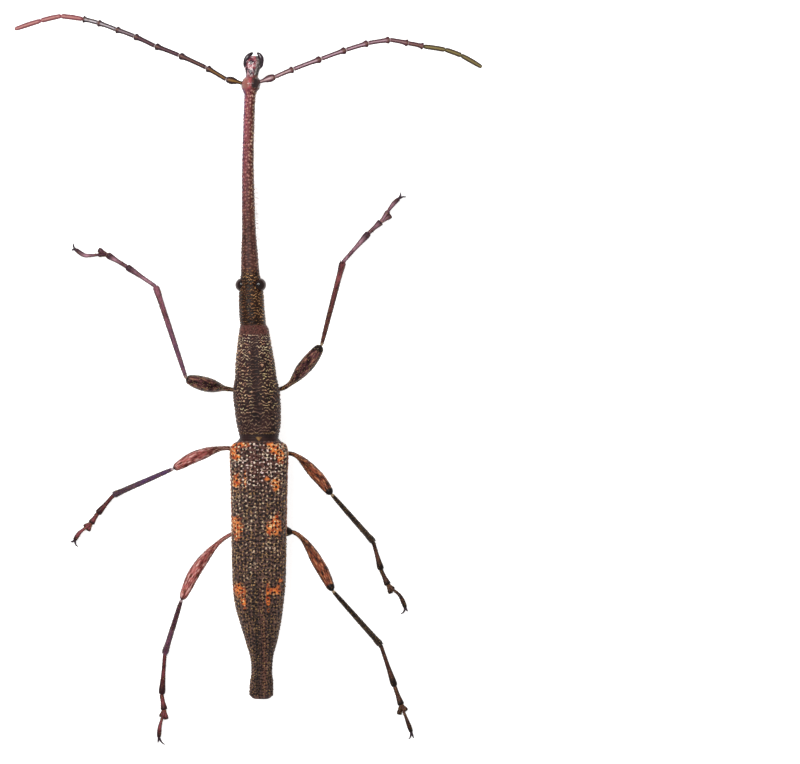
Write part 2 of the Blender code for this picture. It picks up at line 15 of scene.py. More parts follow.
import bpy
import numpy as np
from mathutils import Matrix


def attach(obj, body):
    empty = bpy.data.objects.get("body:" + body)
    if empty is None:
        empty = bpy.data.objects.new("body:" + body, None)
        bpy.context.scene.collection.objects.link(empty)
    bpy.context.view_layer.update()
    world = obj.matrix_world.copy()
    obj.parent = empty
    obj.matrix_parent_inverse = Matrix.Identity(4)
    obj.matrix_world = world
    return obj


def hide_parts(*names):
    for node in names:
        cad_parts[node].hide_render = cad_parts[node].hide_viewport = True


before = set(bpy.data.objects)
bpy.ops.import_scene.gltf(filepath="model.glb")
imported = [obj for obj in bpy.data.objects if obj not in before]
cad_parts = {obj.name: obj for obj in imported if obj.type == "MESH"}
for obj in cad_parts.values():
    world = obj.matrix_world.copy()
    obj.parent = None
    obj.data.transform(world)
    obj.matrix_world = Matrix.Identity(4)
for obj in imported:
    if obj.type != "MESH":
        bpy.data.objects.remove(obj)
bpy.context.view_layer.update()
MM = 0.001
FULL_TURN = 2 * math.pi
SIDES = {"left": -1, "right": 1}
print("nodes in the frame:", len(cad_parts))

# %% [markdown]
# ## Reading a line through a few sizes
#
# A beetle's plate is measured at a few places along it, and everything between is smooth. A
# spline library could do it, but a cubic whose slope at each place is the harmonic mean of the
# slopes beside it is short, never bulges past a measured size, and gives the same line as the
# solid model uses.

# %% Smooth lines
def smooth(at, places, values):
    """Cubic between neighbours; the slope at a place is the harmonic mean of its two steps."""
    x, y = np.asarray(places, float), np.asarray(values, float)
    step = np.diff(x)
    rise = np.diff(y) / step
    alike = rise[1:] * rise[:-1] > 0
    total = np.where(alike, rise[1:] + rise[:-1], 1.0)
    inner = np.where(alike, 2 * rise[1:] * rise[:-1] / total, 0.0)
    slope = np.concatenate([rise[:1], inner, rise[-1:]])
    at = np.clip(at, x[0], x[-1])
    i = np.clip(np.searchsorted(x, at) - 1, 0, len(step) - 1)
    t = (at - x[i]) / step[i]
    start = (1 + 2 * t) * (1 - t) ** 2 * y[i] + t * (1 - t) ** 2 * step[i] * slope[i]
    end = t * t * (3 - 2 * t) * y[i + 1] - t * t * (1 - t) * step[i] * slope[i + 1]
    return start + end


def along(points, shares):
    """Points at shares of the arc length of a smooth line through the given points."""
    points = np.asarray(points, float)
    steps = np.linalg.norm(np.diff(points, axis=0), axis=1)
    chord = np.concatenate([[0.0], np.cumsum(steps)]) / steps.sum()
    fine = np.linspace(0.0, 1.0, 601)
    line = np.stack([smooth(fine, chord, points[:, k]) for k in range(3)], axis=1)
    runs = np.linalg.norm(np.diff(line, axis=0), axis=1)
    length = np.concatenate([[0.0], np.cumsum(runs)]) / runs.sum()
    return np.stack([np.interp(shares, length, line[:, k]) for k in range(3)], axis=1)


MIDLINE_Y = [-30.0, -27.0, -25.0, -23.0, -20.5, -5.5, -0.9, 3.0, 4.7, 5.6, 8.0, 13.0, 19.7, 25.5,
             27.8, 28.7, 30.0, 30.9]
MIDLINE_X = [1.24, 1.30, 1.28, 1.19, 1.05, 1.05, 0.80, 0.62, 0.58, 0.44, 0.31, 0.12, 0.01, 0.14,
             0.28, 0.40, 0.55, 0.70]


def midline(y):
    """The x of the body's middle line at y: the animal is laid out with a slight bend."""
    return smooth(y, MIDLINE_Y, MIDLINE_X)


print("bend of the body in mm:", round(float(np.ptp(midline(np.linspace(-30, 30, 61)))), 2))

# %% [markdown]
# ## Noise that can be repeated
#
# No two wrinkles on a beetle are alike, so the relief needs noise, and the render has to come out
# the same each time. A table of random numbers from a seeded generator, read at lattice points
# and blended with a smooth step, gives rolling values over any surface. Round a ring the lattice
# closes on itself, so that no seam shows under the belly. A whole number added to a lattice place
# only picks another stretch of the table, so that two uses don't look alike.

# %% Noise and bands
DRAWS = np.random.default_rng(11).random((256, 256))


def noise(u, v, closes=256):
    """Value noise from 0 to 1: draws blended by 3t^2 - 2t^3, with v repeating after `closes`."""
    i, j = np.floor(u).astype(int), np.floor(v).astype(int)
    s, t = u - i, v - j
    s, t = s * s * (3 - 2 * s), t * t * (3 - 2 * t)
    low, high = j % closes % 256, (j + 1) % closes % 256
    near, far = (DRAWS[k % 256, low] * (1 - t) + DRAWS[k % 256, high] * t for k in (i, i + 1))
    return near * (1 - s) + far * s


def rough(u, v):
    """Three octaves of value noise, each half as strong and twice as fine, about 0 to 1."""
    total = noise(u, v) + 0.5 * noise(2 * u + 17, 2 * v, 512)
    return (total + 0.25 * noise(4 * u + 41, 4 * v, 1024)) / 1.75


def stretch(value, low, high):
    """Stretches a value so that low becomes 0 and high becomes 1, with nothing beyond."""
    return np.clip((value - low) / (high - low), 0, 1)


def band(value, low, high, soft):
    """1 inside low to high, falling to 0 over `soft` on each side."""
    rise, fall = (np.clip(step / soft + 0.5, 0, 1) for step in (value - low, high - value))
    return rise * rise * (3 - 2 * rise) * fall * fall * (3 - 2 * fall)


def bell(value, middle, width, power=2):
    """1 at the middle, falling off as e to minus the distance in widths to a power."""
    return np.exp(-((value - middle) / width) ** power)


print("noise runs from", round(float(DRAWS.min()), 4), "to", round(float(DRAWS.max()), 4))

# %% [markdown]
# ## From a grid of points to a closed skin
#
# Each plate, leg joint and feeler is a stack of closed rings, so one function can close them all:
# quads between neighbouring rings, and a fan to the middle of each end. Spinning or extruding in
# Blender would need the relief added afterwards with modifiers. Here the relief is already in
# the points, so the mesh that is made is the mesh that was designed. Values along the body
# are columns and values round it are rows, and numpy spreads both over the grid.

# %% Grids and skins
def turns(count):
    """Even angles once round."""
    return np.linspace(0, FULL_TURN, count, endpoint=False)


def stacked(x, y, z):
    """One grid of points from coordinates that are numbers, columns, rows or whole grids."""
    return np.stack(np.broadcast_arrays(x, y, z), axis=-1)


def normals_of(grid):
    """Unit normals of a grid of rings, from the cross product of its two central differences."""
    ring_step = np.roll(grid, -1, axis=1) - np.roll(grid, 1, axis=1)
    normal = np.cross(np.gradient(grid, axis=0), ring_step)
    length = np.linalg.norm(normal, axis=2, keepdims=True)
    normal = normal / np.where(length > 1e-12, length, 1.0)
    outward = grid - grid.mean(axis=1, keepdims=True)
    return normal if (normal * outward).sum() > 0 else -normal


def raise_grid(grid, relief):
    """Moves every point of a grid along its normal by the relief, in millimetres."""
    return grid + normals_of(grid) * relief[:, :, None]


def enclosed(points, corners):
    """Six times the volume inside triangles: positive when they face outwards."""
    a, b, c = (points[corners[:, k]] for k in range(3))
    return float((a * np.cross(b, c)).sum())


def make_mesh(name, points, faces, paint):
    """A smooth mesh object from points in millimetres, in its paint, that rides on the body."""
    mesh = bpy.data.meshes.new(name)
    mesh.from_pydata((points * MM).tolist(), [], faces)
    mesh.shade_smooth()
    mesh.materials.append(paint.material)
    made = bpy.data.objects.new(name, mesh)
    bpy.context.scene.collection.objects.link(made)
    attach(made, "root")
    return made


def close_rings(grid):
    """Points, quads between rings, and a fan of triangles to the middle of each end ring."""
    stations, count = grid.shape[:2]
    points = np.concatenate([grid.reshape(-1, 3), grid[[0, -1]].mean(axis=1)])
    i = np.arange(stations - 1)[:, None] * count
    j = np.arange(count)
    after = (j + 1) % count
    quads = np.stack([i + j, i + after, i + count + after, i + count + j], axis=-1).reshape(-1, 4)
    hub = stations * count
    first = np.stack([np.full(count, hub), after, j], axis=-1)
    last = np.stack([np.full(count, hub + 1), hub - count + j, hub - count + after], axis=-1)
    fans = np.concatenate([first, last])
    halves = np.concatenate([quads[:, [0, 1, 2]], quads[:, [0, 2, 3]], fans])
    if enclosed(points - points.mean(axis=0), halves) < 0:
        return points, quads[:, ::-1], fans[:, ::-1]
    return points, quads, fans


def skin(name, grids, paint, nodes=(), facts=None):
    """Closed skins over stacks of rings as one mesh for its nodes, with facts at its points."""
    grids = grids if isinstance(grids, list) else [grids]
    shells = [close_rings(grid) for grid in grids]
    starts = np.cumsum([0] + [len(shell[0]) for shell in shells])
    faces = [(shell[kind] + start).tolist() for kind in (1, 2)
             for shell, start in zip(shells, starts)]
    points = np.concatenate([shell[0] for shell in shells])
    made = make_mesh(name, points, sum(faces, []), paint)
    for fact, values in (facts or {}).items():
        values = values if isinstance(values, list) else [values]
        spread = [np.broadcast_to(v, grid.shape[:2]) for v, grid in zip(values, grids)]
        kept = [np.concatenate([v.ravel(), v[[0, -1]].mean(axis=1)]) for v in spread]
        store = made.data.attributes.new(fact, "FLOAT", "POINT")
        store.data.foreach_set("value", np.concatenate(kept).astype(np.float32))
    if nodes:
        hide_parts(*nodes)
    return made


def oval(turn, half_width, top, bottom):
    """Points of a fuller-than-round section: cosine and sine raised to 2 / 2.3."""
    x, z = (np.sign(c) * np.abs(c) ** (2 / 2.3) for c in (np.cos(turn), np.sin(turn)))
    return x * half_width, (top + bottom) / 2 + z * (top - bottom) / 2


def sizes_at(y, table):
    """Every row of a table of sizes read at y; its first row is the places."""
    return [smooth(y, table[0], row) for row in table[1:]]


def body_rings(y, turn, table, ends):
    """Ovals about the middle line at each y, from widths, tops and bottoms held past the ends."""
    held = np.clip(y, *ends)
    x, z = oval(turn, *sizes_at(held, table))
    return stacked(x + midline(held), y, z)


print("ready to make skins")

# %% [markdown]
# ## Camera, floor and light
#
# The picture looks straight down on the animal. Its scale bar gives 106.5 pixels to a
# centimetre, so the frame of 800 by 764 pixels covers 75.1 by 71.7 mm, and its centre lies to
# the right of the animal. A long lens from far off keeps the tall back and the flat feet at
# nearly the same scale. The ground in the picture is white with hardly a shadow, as on a light
# table, so the floor is an opal sheet that glows a little. The rest of the light is soft and
# comes from a pale room and three boxes, the strongest of them high up to the upper left.

# %% Camera
PIXELS_PER_MM = 10.65
FRAME_PIXELS = (800, 764)
BODY_CENTRE_PIXEL = (248, 380)  # the pixel that lies over the frame's origin
BODY_LEVEL = 2.5
LENS = 600.0
SENSOR = 36.0

frame_width = FRAME_PIXELS[0] / PIXELS_PER_MM
camera_x = (FRAME_PIXELS[0] / 2 - BODY_CENTRE_PIXEL[0]) / PIXELS_PER_MM
camera_y = (BODY_CENTRE_PIXEL[1] - FRAME_PIXELS[1] / 2) / PIXELS_PER_MM
camera_z = BODY_LEVEL + frame_width * LENS / SENSOR

lens = bpy.data.cameras.new("overhead_camera")
lens.lens = LENS
lens.sensor_width = SENSOR
lens.clip_start = 0.01
lens.clip_end = 10.0
camera = bpy.data.objects.new("overhead_camera", lens)
camera.location = (camera_x * MM, camera_y * MM, camera_z * MM)
bpy.context.scene.collection.objects.link(camera)
bpy.context.scene.camera = camera
print("camera height in mm:", round(camera_z, 1))

# %% Paint
PORE_DETAIL = 1.0
PATCH_DETAIL = 2.0


def hex_colour(code):
    """sRGB hex to linear light: c / 12.92 below 0.04045, else ((c + 0.055) / 1.055) ^ 2.4."""
    parts = [int(code[k:k + 2], 16) / 255 for k in (1, 3, 5)]
    linear = [c / 12.92 if c <= 0.04045 else ((c + 0.055) / 1.055) ** 2.4 for c in parts]
    return (*linear, 1.0)


class Paint:
    """A material whose colour is mixed in layers, each laid over the ones before."""

    def __init__(self, name, roughness, ior=1.56, **sockets):
        """A bare Principled shader, whose plain sockets are set by name."""
        self.material = bpy.data.materials.new(name)
        self.material.use_nodes = True
        self.tree = self.material.node_tree
        self.shader = self.tree.nodes["Principled BSDF"]
        for socket, value in {"Roughness": roughness, "IOR": ior, **sockets}.items():
            self.shader.inputs[socket.replace("_", " ")].default_value = value

    def put(self, kind, output, feeds, **settings):
        """One output of a new node, whose inputs are fed by values or by other outputs."""
        made = self.tree.nodes.new(kind)
        for name, value in settings.items():
            setattr(made, name, value)
        for socket, value in feeds.items():
            if isinstance(value, bpy.types.NodeSocket):
                self.tree.links.new(value, made.inputs[socket])
            else:
                made.inputs[socket].default_value = value
        return made.outputs[output]

    def speckle(self, size_mm, shift=0.0, detail=PATCH_DETAIL):
        """Fine noise in object coordinates with lumps of the given size."""
        place = self.put("ShaderNodeTexCoord", "Object", {})
        feeds = {"Vector": place, "Location": (shift, 0, 0)}
        moved = self.put("ShaderNodeMapping", "Vector", feeds)
        feeds = {"Vector": moved, "Scale": 1 / (size_mm * MM), "Detail": detail}
        return self.put("ShaderNodeTexNoise", "Fac", feeds)

    def read(self, value, low=0, high=1):
        """A fact by name, or noise by size and shift, stretched to be 0 at low and 1 at high."""
        if isinstance(value, str):
            value = self.put("ShaderNodeAttribute", "Fac", {}, attribute_name=value)
        else:
            value = self.speckle(*value)
        feeds = {"Value": value, "From Min": low, "From Max": high}
        return self.put("ShaderNodeMapRange", "Result", feeds, clamp=True)

    def mix(self, share, first, second):
        """The colour between two colours at a share; colours are hex codes or outputs."""
        first, second = (hex_colour(c) if isinstance(c, str) else c for c in (first, second))
        return self.put("ShaderNodeMix", 2, {0: share, 6: first, 7: second}, data_type="RGBA")

    def over(self, colour, *layers):
        """Lays colours over one another, each with the value and the span that bring it in."""
        for value, low, high, top in layers:
            colour = self.mix(self.read(value, low, high), colour, top)
        return colour

    def link(self, output, socket):
        """Links an output to a socket of the shader."""
        self.tree.links.new(output, self.shader.inputs[socket])

    def bump(self, height, depth_mm):
        """A bump from a height of 0 to 1 that stands for the given depth."""
        feeds = {"Height": height, "Distance": depth_mm * MM, "Strength": 1.0}
        self.link(self.put("ShaderNodeBump", "Normal", feeds), "Normal")

    def finish(self, colour, pore_mm=None, depth_mm=0.01):
        """Puts the colour on the shader, and pores of a size and depth if they are given."""
        self.link(colour, "Base Color")
        if pore_mm:
            self.bump(self.speckle(pore_mm, detail=PORE_DETAIL), depth_mm)
        return self


print("colour of a mid grey:", [round(c, 3) for c in hex_colour("#808080")[:3]])

# %% Floor and light
SHEET_GLOW = 0.76
SHEET_HALF = 400.0
ROOM_LIGHT = 0.42
WHITE = (1.0, 1.0, 1.0, 1.0)
BOXES = [("top_box", (-110, 140, 400), 120, 1.65, (1.0, 0.985, 0.96)),
         ("left_box", (-380, 40, 240), 200, 0.60, (1.0, 0.88, 0.96)),
         ("right_box", (360, -60, 260), 200, 0.42, (1.0, 0.97, 0.86))]


def make_floor():
    """A wide sheet of opal glass under the animal, lit a little from below."""
    corners = [(x * SHEET_HALF * MM, y * SHEET_HALF * MM, 0)
               for x, y in ((-1, -1), (1, -1), (1, 1), (-1, 1))]
    mesh = bpy.data.meshes.new("floor")
    mesh.from_pydata(corners, [], [(0, 1, 2, 3)])
    floor = bpy.data.objects.new("floor", mesh)
    bpy.context.scene.collection.objects.link(floor)
    glass = Paint("opal_glass_sheet", 0.8, 1.5, Emission_Strength=SHEET_GLOW, Emission_Color=WHITE)
    glass.finish(glass.over("#f7f6f5", ((6.0,), 0.2, 0.8, "#fbfafa")))
    mesh.materials.append(glass.material)


def add_light(name, place, size, power, colour):
    """A square soft box at a place in millimetres that faces the middle of the animal."""
    lamp = bpy.data.lights.new(name, "AREA")
    lamp.size = size * MM
    lamp.energy = power
    lamp.color = colour
    holder = bpy.data.objects.new(name, lamp)
    holder.location = np.array(place) * MM
    away = -np.array(place) / np.linalg.norm(place)
    holder.rotation_euler = (math.acos(-away[2]), 0, math.atan2(away[0], -away[1]))
    bpy.context.scene.collection.objects.link(holder)


make_floor()
for box in BOXES:
    add_light(*box)
bpy.context.scene.view_settings.view_transform = "Standard"
world = bpy.data.worlds.new("pale_room")
world.use_nodes = True
bpy.context.scene.world = world
world.node_tree.nodes["Background"].inputs["Color"].default_value = WHITE
world.node_tree.nodes["Background"].inputs["Strength"].default_value = ROOM_LIGHT
print("floor and soft boxes:", len(BOXES))

# %% [markdown]
# ## Gold scales and hairs
#
# The pale dots and gleams in the picture are scales: flat pointed leaves 0.1 to 0.2 mm long that
# lie on the cuticle. Blender's hair would be lost in an export, so every scale is a closed leaf
# of six small faces, and all the leaves of one plate are one mesh. Hairs are such leaves too,
# raised further. Each leaf also gets a little patch of a UV map at the place of its root on the
# plate's own unwrap.

# %% Scales
LEAF_FACES = np.array([[0, 1, 4], [1, 2, 4], [2, 3, 4], [3, 0, 4], [0, 2, 1], [0, 3, 2]])
LEAF_CORNERS = np.array([[-1, 0], [0, -1], [1, 0], [0, 1], [0, 0]])
UV_PATCH = 0.0015
SIZE_SPREAD = (0.75, 1.25)
SWING = 0.35
WIDEST_AT = 0.45


def scales(name, spots, length, width, paint, tilt=0.25, seed=1):
    """Leaves: root, two flanks, a tip and a keel, laid along `lie` and lifted by `tilt`."""
    roots, outward, lie, places = spots
    draw = np.random.default_rng(seed)
    count = len(roots)
    size = draw.uniform(*SIZE_SPREAD, (count, 1)) * length
    lie = lie - outward * (lie * outward).sum(axis=1, keepdims=True)
    lie /= np.linalg.norm(lie, axis=1, keepdims=True) + 1e-12
    swing = draw.normal(0, SWING, (count, 1))
    lie = lie * np.cos(swing) + np.cross(outward, lie) * np.sin(swing)
    half = np.cross(outward, lie) * width / 2
    thick = width * 0.3
    root = roots - outward * thick * 0.6
    reach = lie * size + outward * size * tilt
    flank = root + reach * WIDEST_AT
    keel = flank + outward * thick * 1.6
    points = np.stack([root, flank - half, root + reach, flank + half, keel], axis=1)
    points = points.reshape(-1, 3)
    corners = (LEAF_FACES[None] + 5 * np.arange(count)[:, None, None]).reshape(-1, 3)
    if enclosed(points[:5], LEAF_FACES) < 0:
        corners = corners[:, ::-1]
    made = make_mesh(name, points, corners.tolist(), paint)
    unwrap = (places[:, None, :] + LEAF_CORNERS * UV_PATCH).reshape(-1, 2)
    layer = made.data.uv_layers.new(name="OFBake")
    corner_points = np.empty(len(made.data.loops), dtype=np.int32)
    made.data.loops.foreach_get("vertex_index", corner_points)
    layer.data.foreach_set("uv", unwrap[corner_points].ravel().astype(np.float32))


def sown(grid, count, density, seed):
    """Random spots on a grid: points, normals, backward directions and unwrap places."""
    draw = np.random.default_rng(seed)
    stations, ring = grid.shape[:2]
    row = draw.uniform(1, stations - 2, count)
    column = draw.uniform(0, ring, count)
    i, j = row.astype(int), column.astype(int) % ring
    density = np.broadcast_to(density, grid.shape[:2])
    keep = draw.random(count) < density[i, j]
    i, j = i[keep], j[keep]
    share = (row[keep] - i)[:, None]
    points = grid[i, j] * (1 - share) + grid[i + 1, j] * share
    lie = grid[i - 1, j] - grid[i + 1, j]
    places = np.stack([row[keep] / stations, column[keep] / ring], axis=1)
    return points, normals_of(grid)[i, j], lie, places


def sown_on(parts, count, share, seed):
    """Random spots on several skins, each with its own strip of the unwrap."""
    found = [sown(part, count, share, seed + k) for k, part in enumerate(parts)]
    for k, spots in enumerate(found):
        spots[3][:, 0] = (k + spots[3][:, 0]) / len(parts)
    return [np.concatenate([spots[k] for spots in found]) for k in range(4)]


def scale_paint(name, first, second):
    """Scales are thin horn with a satin gleam; their colour drifts from one to the next."""
    paint = Paint(name, 0.42, 1.55)
    return paint.finish(paint.over(first, ((0.35,), 0.3, 0.7, second)))


GOLD_SCALES = scale_paint("gold_scale_horn", "#b98d3c", "#f4dfa0")
BRONZE_SCALES = scale_paint("bronze_scale_horn", "#7d5a2a", "#c99a55")
BEARD_HAIR = scale_paint("tawny_beard_hair", "#6e5648", "#b9a48e")
FRINGE_HAIR = scale_paint("rosy_fringe_hair", "#83565e", "#b58a88")
print("scales have", len(LEAF_FACES), "faces each")

# %% [markdown]
# ## The prothorax
#
# The barrel behind the head is a single ring of cuticle, creased across by hundreds of wavy
# ridges, with a groove along its back, a mottled rim in front and a finely ringed collar behind.
# A texture could fake the ridges, but they catch light from every side, so they are in the mesh:
# waves that run along the body, bent by noise and broken up by more noise. The same heights are
# kept at the points, so that the colour can be pale on the crests, from gold and a painted
# highlight, and dark in the creases. Painted light also makes the barrel paler on its left side
# and on its top towards the front. A small tan triangle and a pale hem mark the collar.

# %% Prothorax
PROTHORAX = [  # places, half widths, tops and bottoms
    [-5.65, -5.2, -4.5, -3.7, -2.9, -2.1, -1.0, 0.2, 1.7, 3.3, 4.2, 4.72, 5.0],
    [1.80, 1.84, 1.98, 2.08, 2.14, 2.18, 2.15, 1.93, 1.80, 1.57, 1.44, 1.38, 1.30],
    [4.86, 4.86, 5.00, 5.14, 5.22, 5.28, 5.30, 5.26, 5.16, 5.00, 4.90, 4.90, 4.80],
    [1.96, 1.94, 1.88, 1.80, 1.76, 1.75, 1.76, 1.84, 1.98, 2.14, 2.22, 2.24, 2.30]]
PROTHORAX_ENDS = (-5.65, 5.0)
WRINKLE_PITCH = ([-5.0, 0.0, 4.5], [0.35, 0.33, 0.27])  # the creases crowd towards the head
WRINKLE_LUMP = 0.7
WRINKLE_ROUND = 42  # lumps of the bending noise round a ring
WRINKLE_HEIGHT = 0.07
CREASED_Y = (-5.15, 4.40)
BACK_Z = 3.6  # the back is what lies higher
GROOVE_DEPTH = 0.06
GROOVE_HALF = 0.32
GROOVE_Y = (-3.6, 4.4)
COLLAR_PITCH = 0.19
SHIELD_Y = (-5.74, -5.34)
SHIELD_HALF = 0.34
HEM_Y = (-5.02, -4.94)


def wrinkles(y, turn, pitch, seed):
    """Crests of waves along y bent by noise, and how much each stretch of a crest gleams."""
    u, v = y / WRINKLE_LUMP + 60 + seed, turn / FULL_TURN * WRINKLE_ROUND
    bend = 0.95 * noise(u, v, WRINKLE_ROUND) + 0.85 * noise(u * 2.3 + 9, 2 * v, 2 * WRINKLE_ROUND)
    beat = np.cumsum(np.gradient(y, axis=0) / pitch, axis=0)
    wave = 0.5 + 0.5 * np.cos(FULL_TURN * (beat + bend))
    broken = stretch(noise(u * 4.7 + 31, 3 * v + 5, 3 * WRINKLE_ROUND), 0.22, 0.55)
    gleam = stretch(noise(u * 3.7 + 77, 2 * v + 9, 2 * WRINKLE_ROUND), 0.10, 0.85)
    return wave ** 4.6 * (0.2 + 0.8 * broken), gleam


def make_prothorax():
    """The barrel with its creases, groove, rim and collar; returns its grid for the scales."""
    y = np.linspace(-5.85, 5.18, 330)[:, None]
    turn = turns(280) - math.pi / 2
    grid = body_rings(y, turn, PROTHORAX, PROTHORAX_ENDS)
    over = grid[:, :, 0] - midline(y)
    aside = np.abs(over)
    above = grid[:, :, 2] > BACK_Z
    crest, gleam = wrinkles(y, turn, smooth(y, *WRINKLE_PITCH), 0)
    crest = crest * np.maximum(band(y, *CREASED_Y, 0.45), 0.35 * band(y, 4.0, 4.95, 0.1))
    groove = bell(aside, 0, GROOVE_HALF) * above * band(y, *GROOVE_Y, 1.6)
    collar = (0.5 + 0.5 * np.cos(FULL_TURN * y / COLLAR_PITCH)) * band(y, -5.9, -5.2, 0.1)
    sides = band(aside, 0.42, 1.80, 0.4) * band(y, -2.9, 4.5, 1.2)
    # Painted light: the barrel is paler on its left side and on its top towards the front.
    painted_light = 0.50 * stretch(-over, -1.6, 1.6) + 0.8 * stretch(y, 0.5, 4.0) * above
    # The crests gleam more on the sides and towards the front: gold, brightened by a painted
    # highlight.
    gleam = gleam * (0.25 + 0.85 * sides + 0.8 * stretch(y, 1.5, 4.0))
    gleam = gleam * (1 - 0.8 * groove) * (0.88 + 0.8 * painted_light)
    point = stretch(y, *SHIELD_Y) * band(y, *SHIELD_Y, 0.06)
    shield = stretch(SHIELD_HALF * point - aside, -0.03, 0.03) * (point > 0.02)
    frayed = stretch(noise(grid[:, :, 0] / 0.3 + 50, grid[:, :, 2]), 0.3, 0.7)
    shield = np.maximum(shield, 0.4 * band(y, *HEM_Y, 0.05) * frayed)
    relief = WRINKLE_HEIGHT * crest * (1 - 0.3 * groove) - GROOVE_DEPTH * groove
    relief = relief + 0.02 * collar + 0.03 * shield
    closing = stretch(np.abs(y - np.clip(y, -5.68, 5.03)), 0, 0.3)
    grid = raise_grid(grid, relief - 0.25 * closing)
    skin("prothorax_skin", grid, THORAX_PAINT, ["prothorax"],
         {"crest": crest, "groove": groove, "gleam": gleam, "painted_light": painted_light,
          "rim": band(y, 4.3, 6.0, 0.3), "shield": shield * above})
    return grid, crest * gleam


def thorax_paint():
    """Tanned insect chitin, dark and faintly glossy, with painted light on its left and front top.
    """
    paint = Paint("wrinkled_brown_chitin", 0.5, Specular_IOR_Level=0.12)
    hue = paint.read((0.5, 0.3), 0.38, 0.62)
    ground = paint.over("#1f1514", ((0.9,), 0.35, 0.7, "#402926"), ("painted_light", 0.3, 1.1, "#3c2324"))
    gold = paint.over(paint.mix(hue, "#f2dc9e", "#d6a682"),
                      ("painted_light", 0, 1, paint.mix(hue, "#fbe8c6", "#e8a890")))
    # The crests are paler than the ground: a painted highlight over their gold.
    line = paint.over("#76564d", ("gleam", 0, 1, gold))
    mottled = paint.over("#3a201c", ((0.14,), 0.40, 0.62, "#74463e"))
    return paint.finish(paint.over(
        ground, ("crest", 0.25, 0.70, line), ("groove", 0, 2.7, "#170e0d"), ("rim", 0, 1, mottled),
        ("shield", 0, 1, paint.mix(hue, "#a07a48", "#6a4a30"))), 0.05, 0.012)


THORAX_PAINT = thorax_paint()
grid, density = make_prothorax()
spots = sown(grid, 15000, density ** 2 * 0.3, 3)
scales("prothorax_scales", spots, 0.15, 0.045, GOLD_SCALES, seed=4)
print("scales on the prothorax:", len(spots[0]))

# %% [markdown]
# ## The wing cases
#
# The two hardened front wings meet along the back. Each carries rows: raised ribs with a string
# of pale grains, and sunk lines with a string of pits between them. Rows follow the suture at a
# nearly fixed distance, so those on the outside run out at the edge where the body narrows. The
# row number is therefore the distance over the arch divided by the row's pitch, and grains and
# pits are bumps placed by that number and by the distance along the body.

# %% Wing cases
ELYTRA = [  # places, half widths, tops and edges
    [-29.98, -29.85, -29.45, -28.5, -27.3, -26.2, -24.7, -23.0, -21.2, -19.0, -14.0, -9.0,
     -7.6, -6.8, -6.3, -5.95, -5.72],
    [0.50, 0.84, 1.12, 1.10, 0.97, 1.04, 1.42, 1.86, 2.24, 2.48, 2.58, 2.68, 2.74, 2.73, 2.66,
     2.38, 2.0],
    [3.52, 3.56, 3.62, 3.76, 3.90, 4.08, 4.40, 4.78, 5.10, 5.30, 5.44, 5.40, 5.28, 5.14, 5.04,
     4.96, 4.90],
    [2.95, 2.93, 2.92, 2.94, 2.98, 3.05, 3.12, 3.20, 3.26, 3.30, 3.34, 3.38, 3.40, 3.42, 3.46,
     3.56, 3.66]]
ARCH_POWER = 0.75
SUTURE = 0.012
SHELL = 0.35
ROW_PITCH = ([-30.0, -27.0, -21.0, -6.0], [0.2574, 0.2652, 0.351, 0.39])
BEAT_LENGTH = ([-30.0, -25.0, -20.0, -6.0], [0.28, 0.31, 0.39, 0.43])
GRAIN_LIGHT = ([-30.0, -23.0, -18.0, -11.0, -6.0], [0.38, 0.42, 0.76, 1.05, 2.3])
SCATTER_ASIDE = 0.50
SCATTER_AHEAD = 0.42
SQUASH = 1.3
GRAIN_RADIUS = 0.25
PIT_RADIUS = 0.36
RIM_WIDTH = 0.10
GRAIN_HEIGHT = 0.08
PIT_DEPTH = 0.07
PATCH_REACH = 1.2  # how far a patch goes, in its half sizes
PATCH_SOFT = 0.6

# The orange patches: middle and half size in y, then in distance from the suture, in mm.
PATCHES = {
    "left": [(-6.05, 0.25, 1.55, 0.55), (-6.55, 0.75, 2.35, 0.40), (-7.2, 0.35, 2.1, 0.45),
             (-9.5, 0.75, 2.15, 0.36), (-9.3, 0.75, 1.28, 0.09), (-13.2, 0.5, 2.35, 0.25),
             (-13.9, 0.9, 2.0, 0.52), (-19.6, 0.62, 1.80, 0.62), (-20.8, 0.7, 1.42, 0.22)],
    "right": [(-6.1, 0.35, 1.15, 0.35), (-6.55, 0.55, 1.55, 0.40), (-7.15, 0.75, 2.05, 0.42),
              (-9.25, 0.22, 0.75, 0.35), (-9.5, 0.35, 1.5, 0.45), (-10.1, 0.40, 1.55, 0.36),
              (-13.5, 1.05, 1.60, 0.50), (-14.1, 0.65, 1.0, 0.35), (-19.75, 0.34, 1.35, 0.62),
              (-20.3, 1.15, 0.83, 0.18), (-19.7, 0.6, 1.80, 0.20), (-18.8, 0.25, 2.05, 0.2)],
}

# Ribs of the tail, as distances right of the midline in mm, and the share of their tint.
TAIL_STRIPES = (-29.9, -19.0)
DUSK = [(-0.60, -0.20, 1.0), (0.68, 1.08, 0.8)]
RUST = [(0.08, 0.46, 0.45)]


def arch(y, count):
    """Half rings at even distances from the suture to the edge, those distances, and the sizes."""
    width, top, edge = sizes_at(y, ELYTRA)
    turn = np.linspace(math.pi / 2, 0, 400)
    x = SUTURE + (width - SUTURE) * np.cos(turn) ** ARCH_POWER
    z = edge + (top - edge) * np.sin(turn) ** ARCH_POWER
    steps = np.hypot(np.diff(x, axis=1), np.diff(z, axis=1))
    run = np.hstack([np.zeros((len(y), 1)), np.cumsum(steps, axis=1)])
    even = np.linspace(0, 1, count)
    x, z = (np.stack([np.interp(even * r[-1], r, a) for r, a in zip(run, values)])
            for values in (x, z))
    return x, z, even * run[:, -1:], width, top, edge


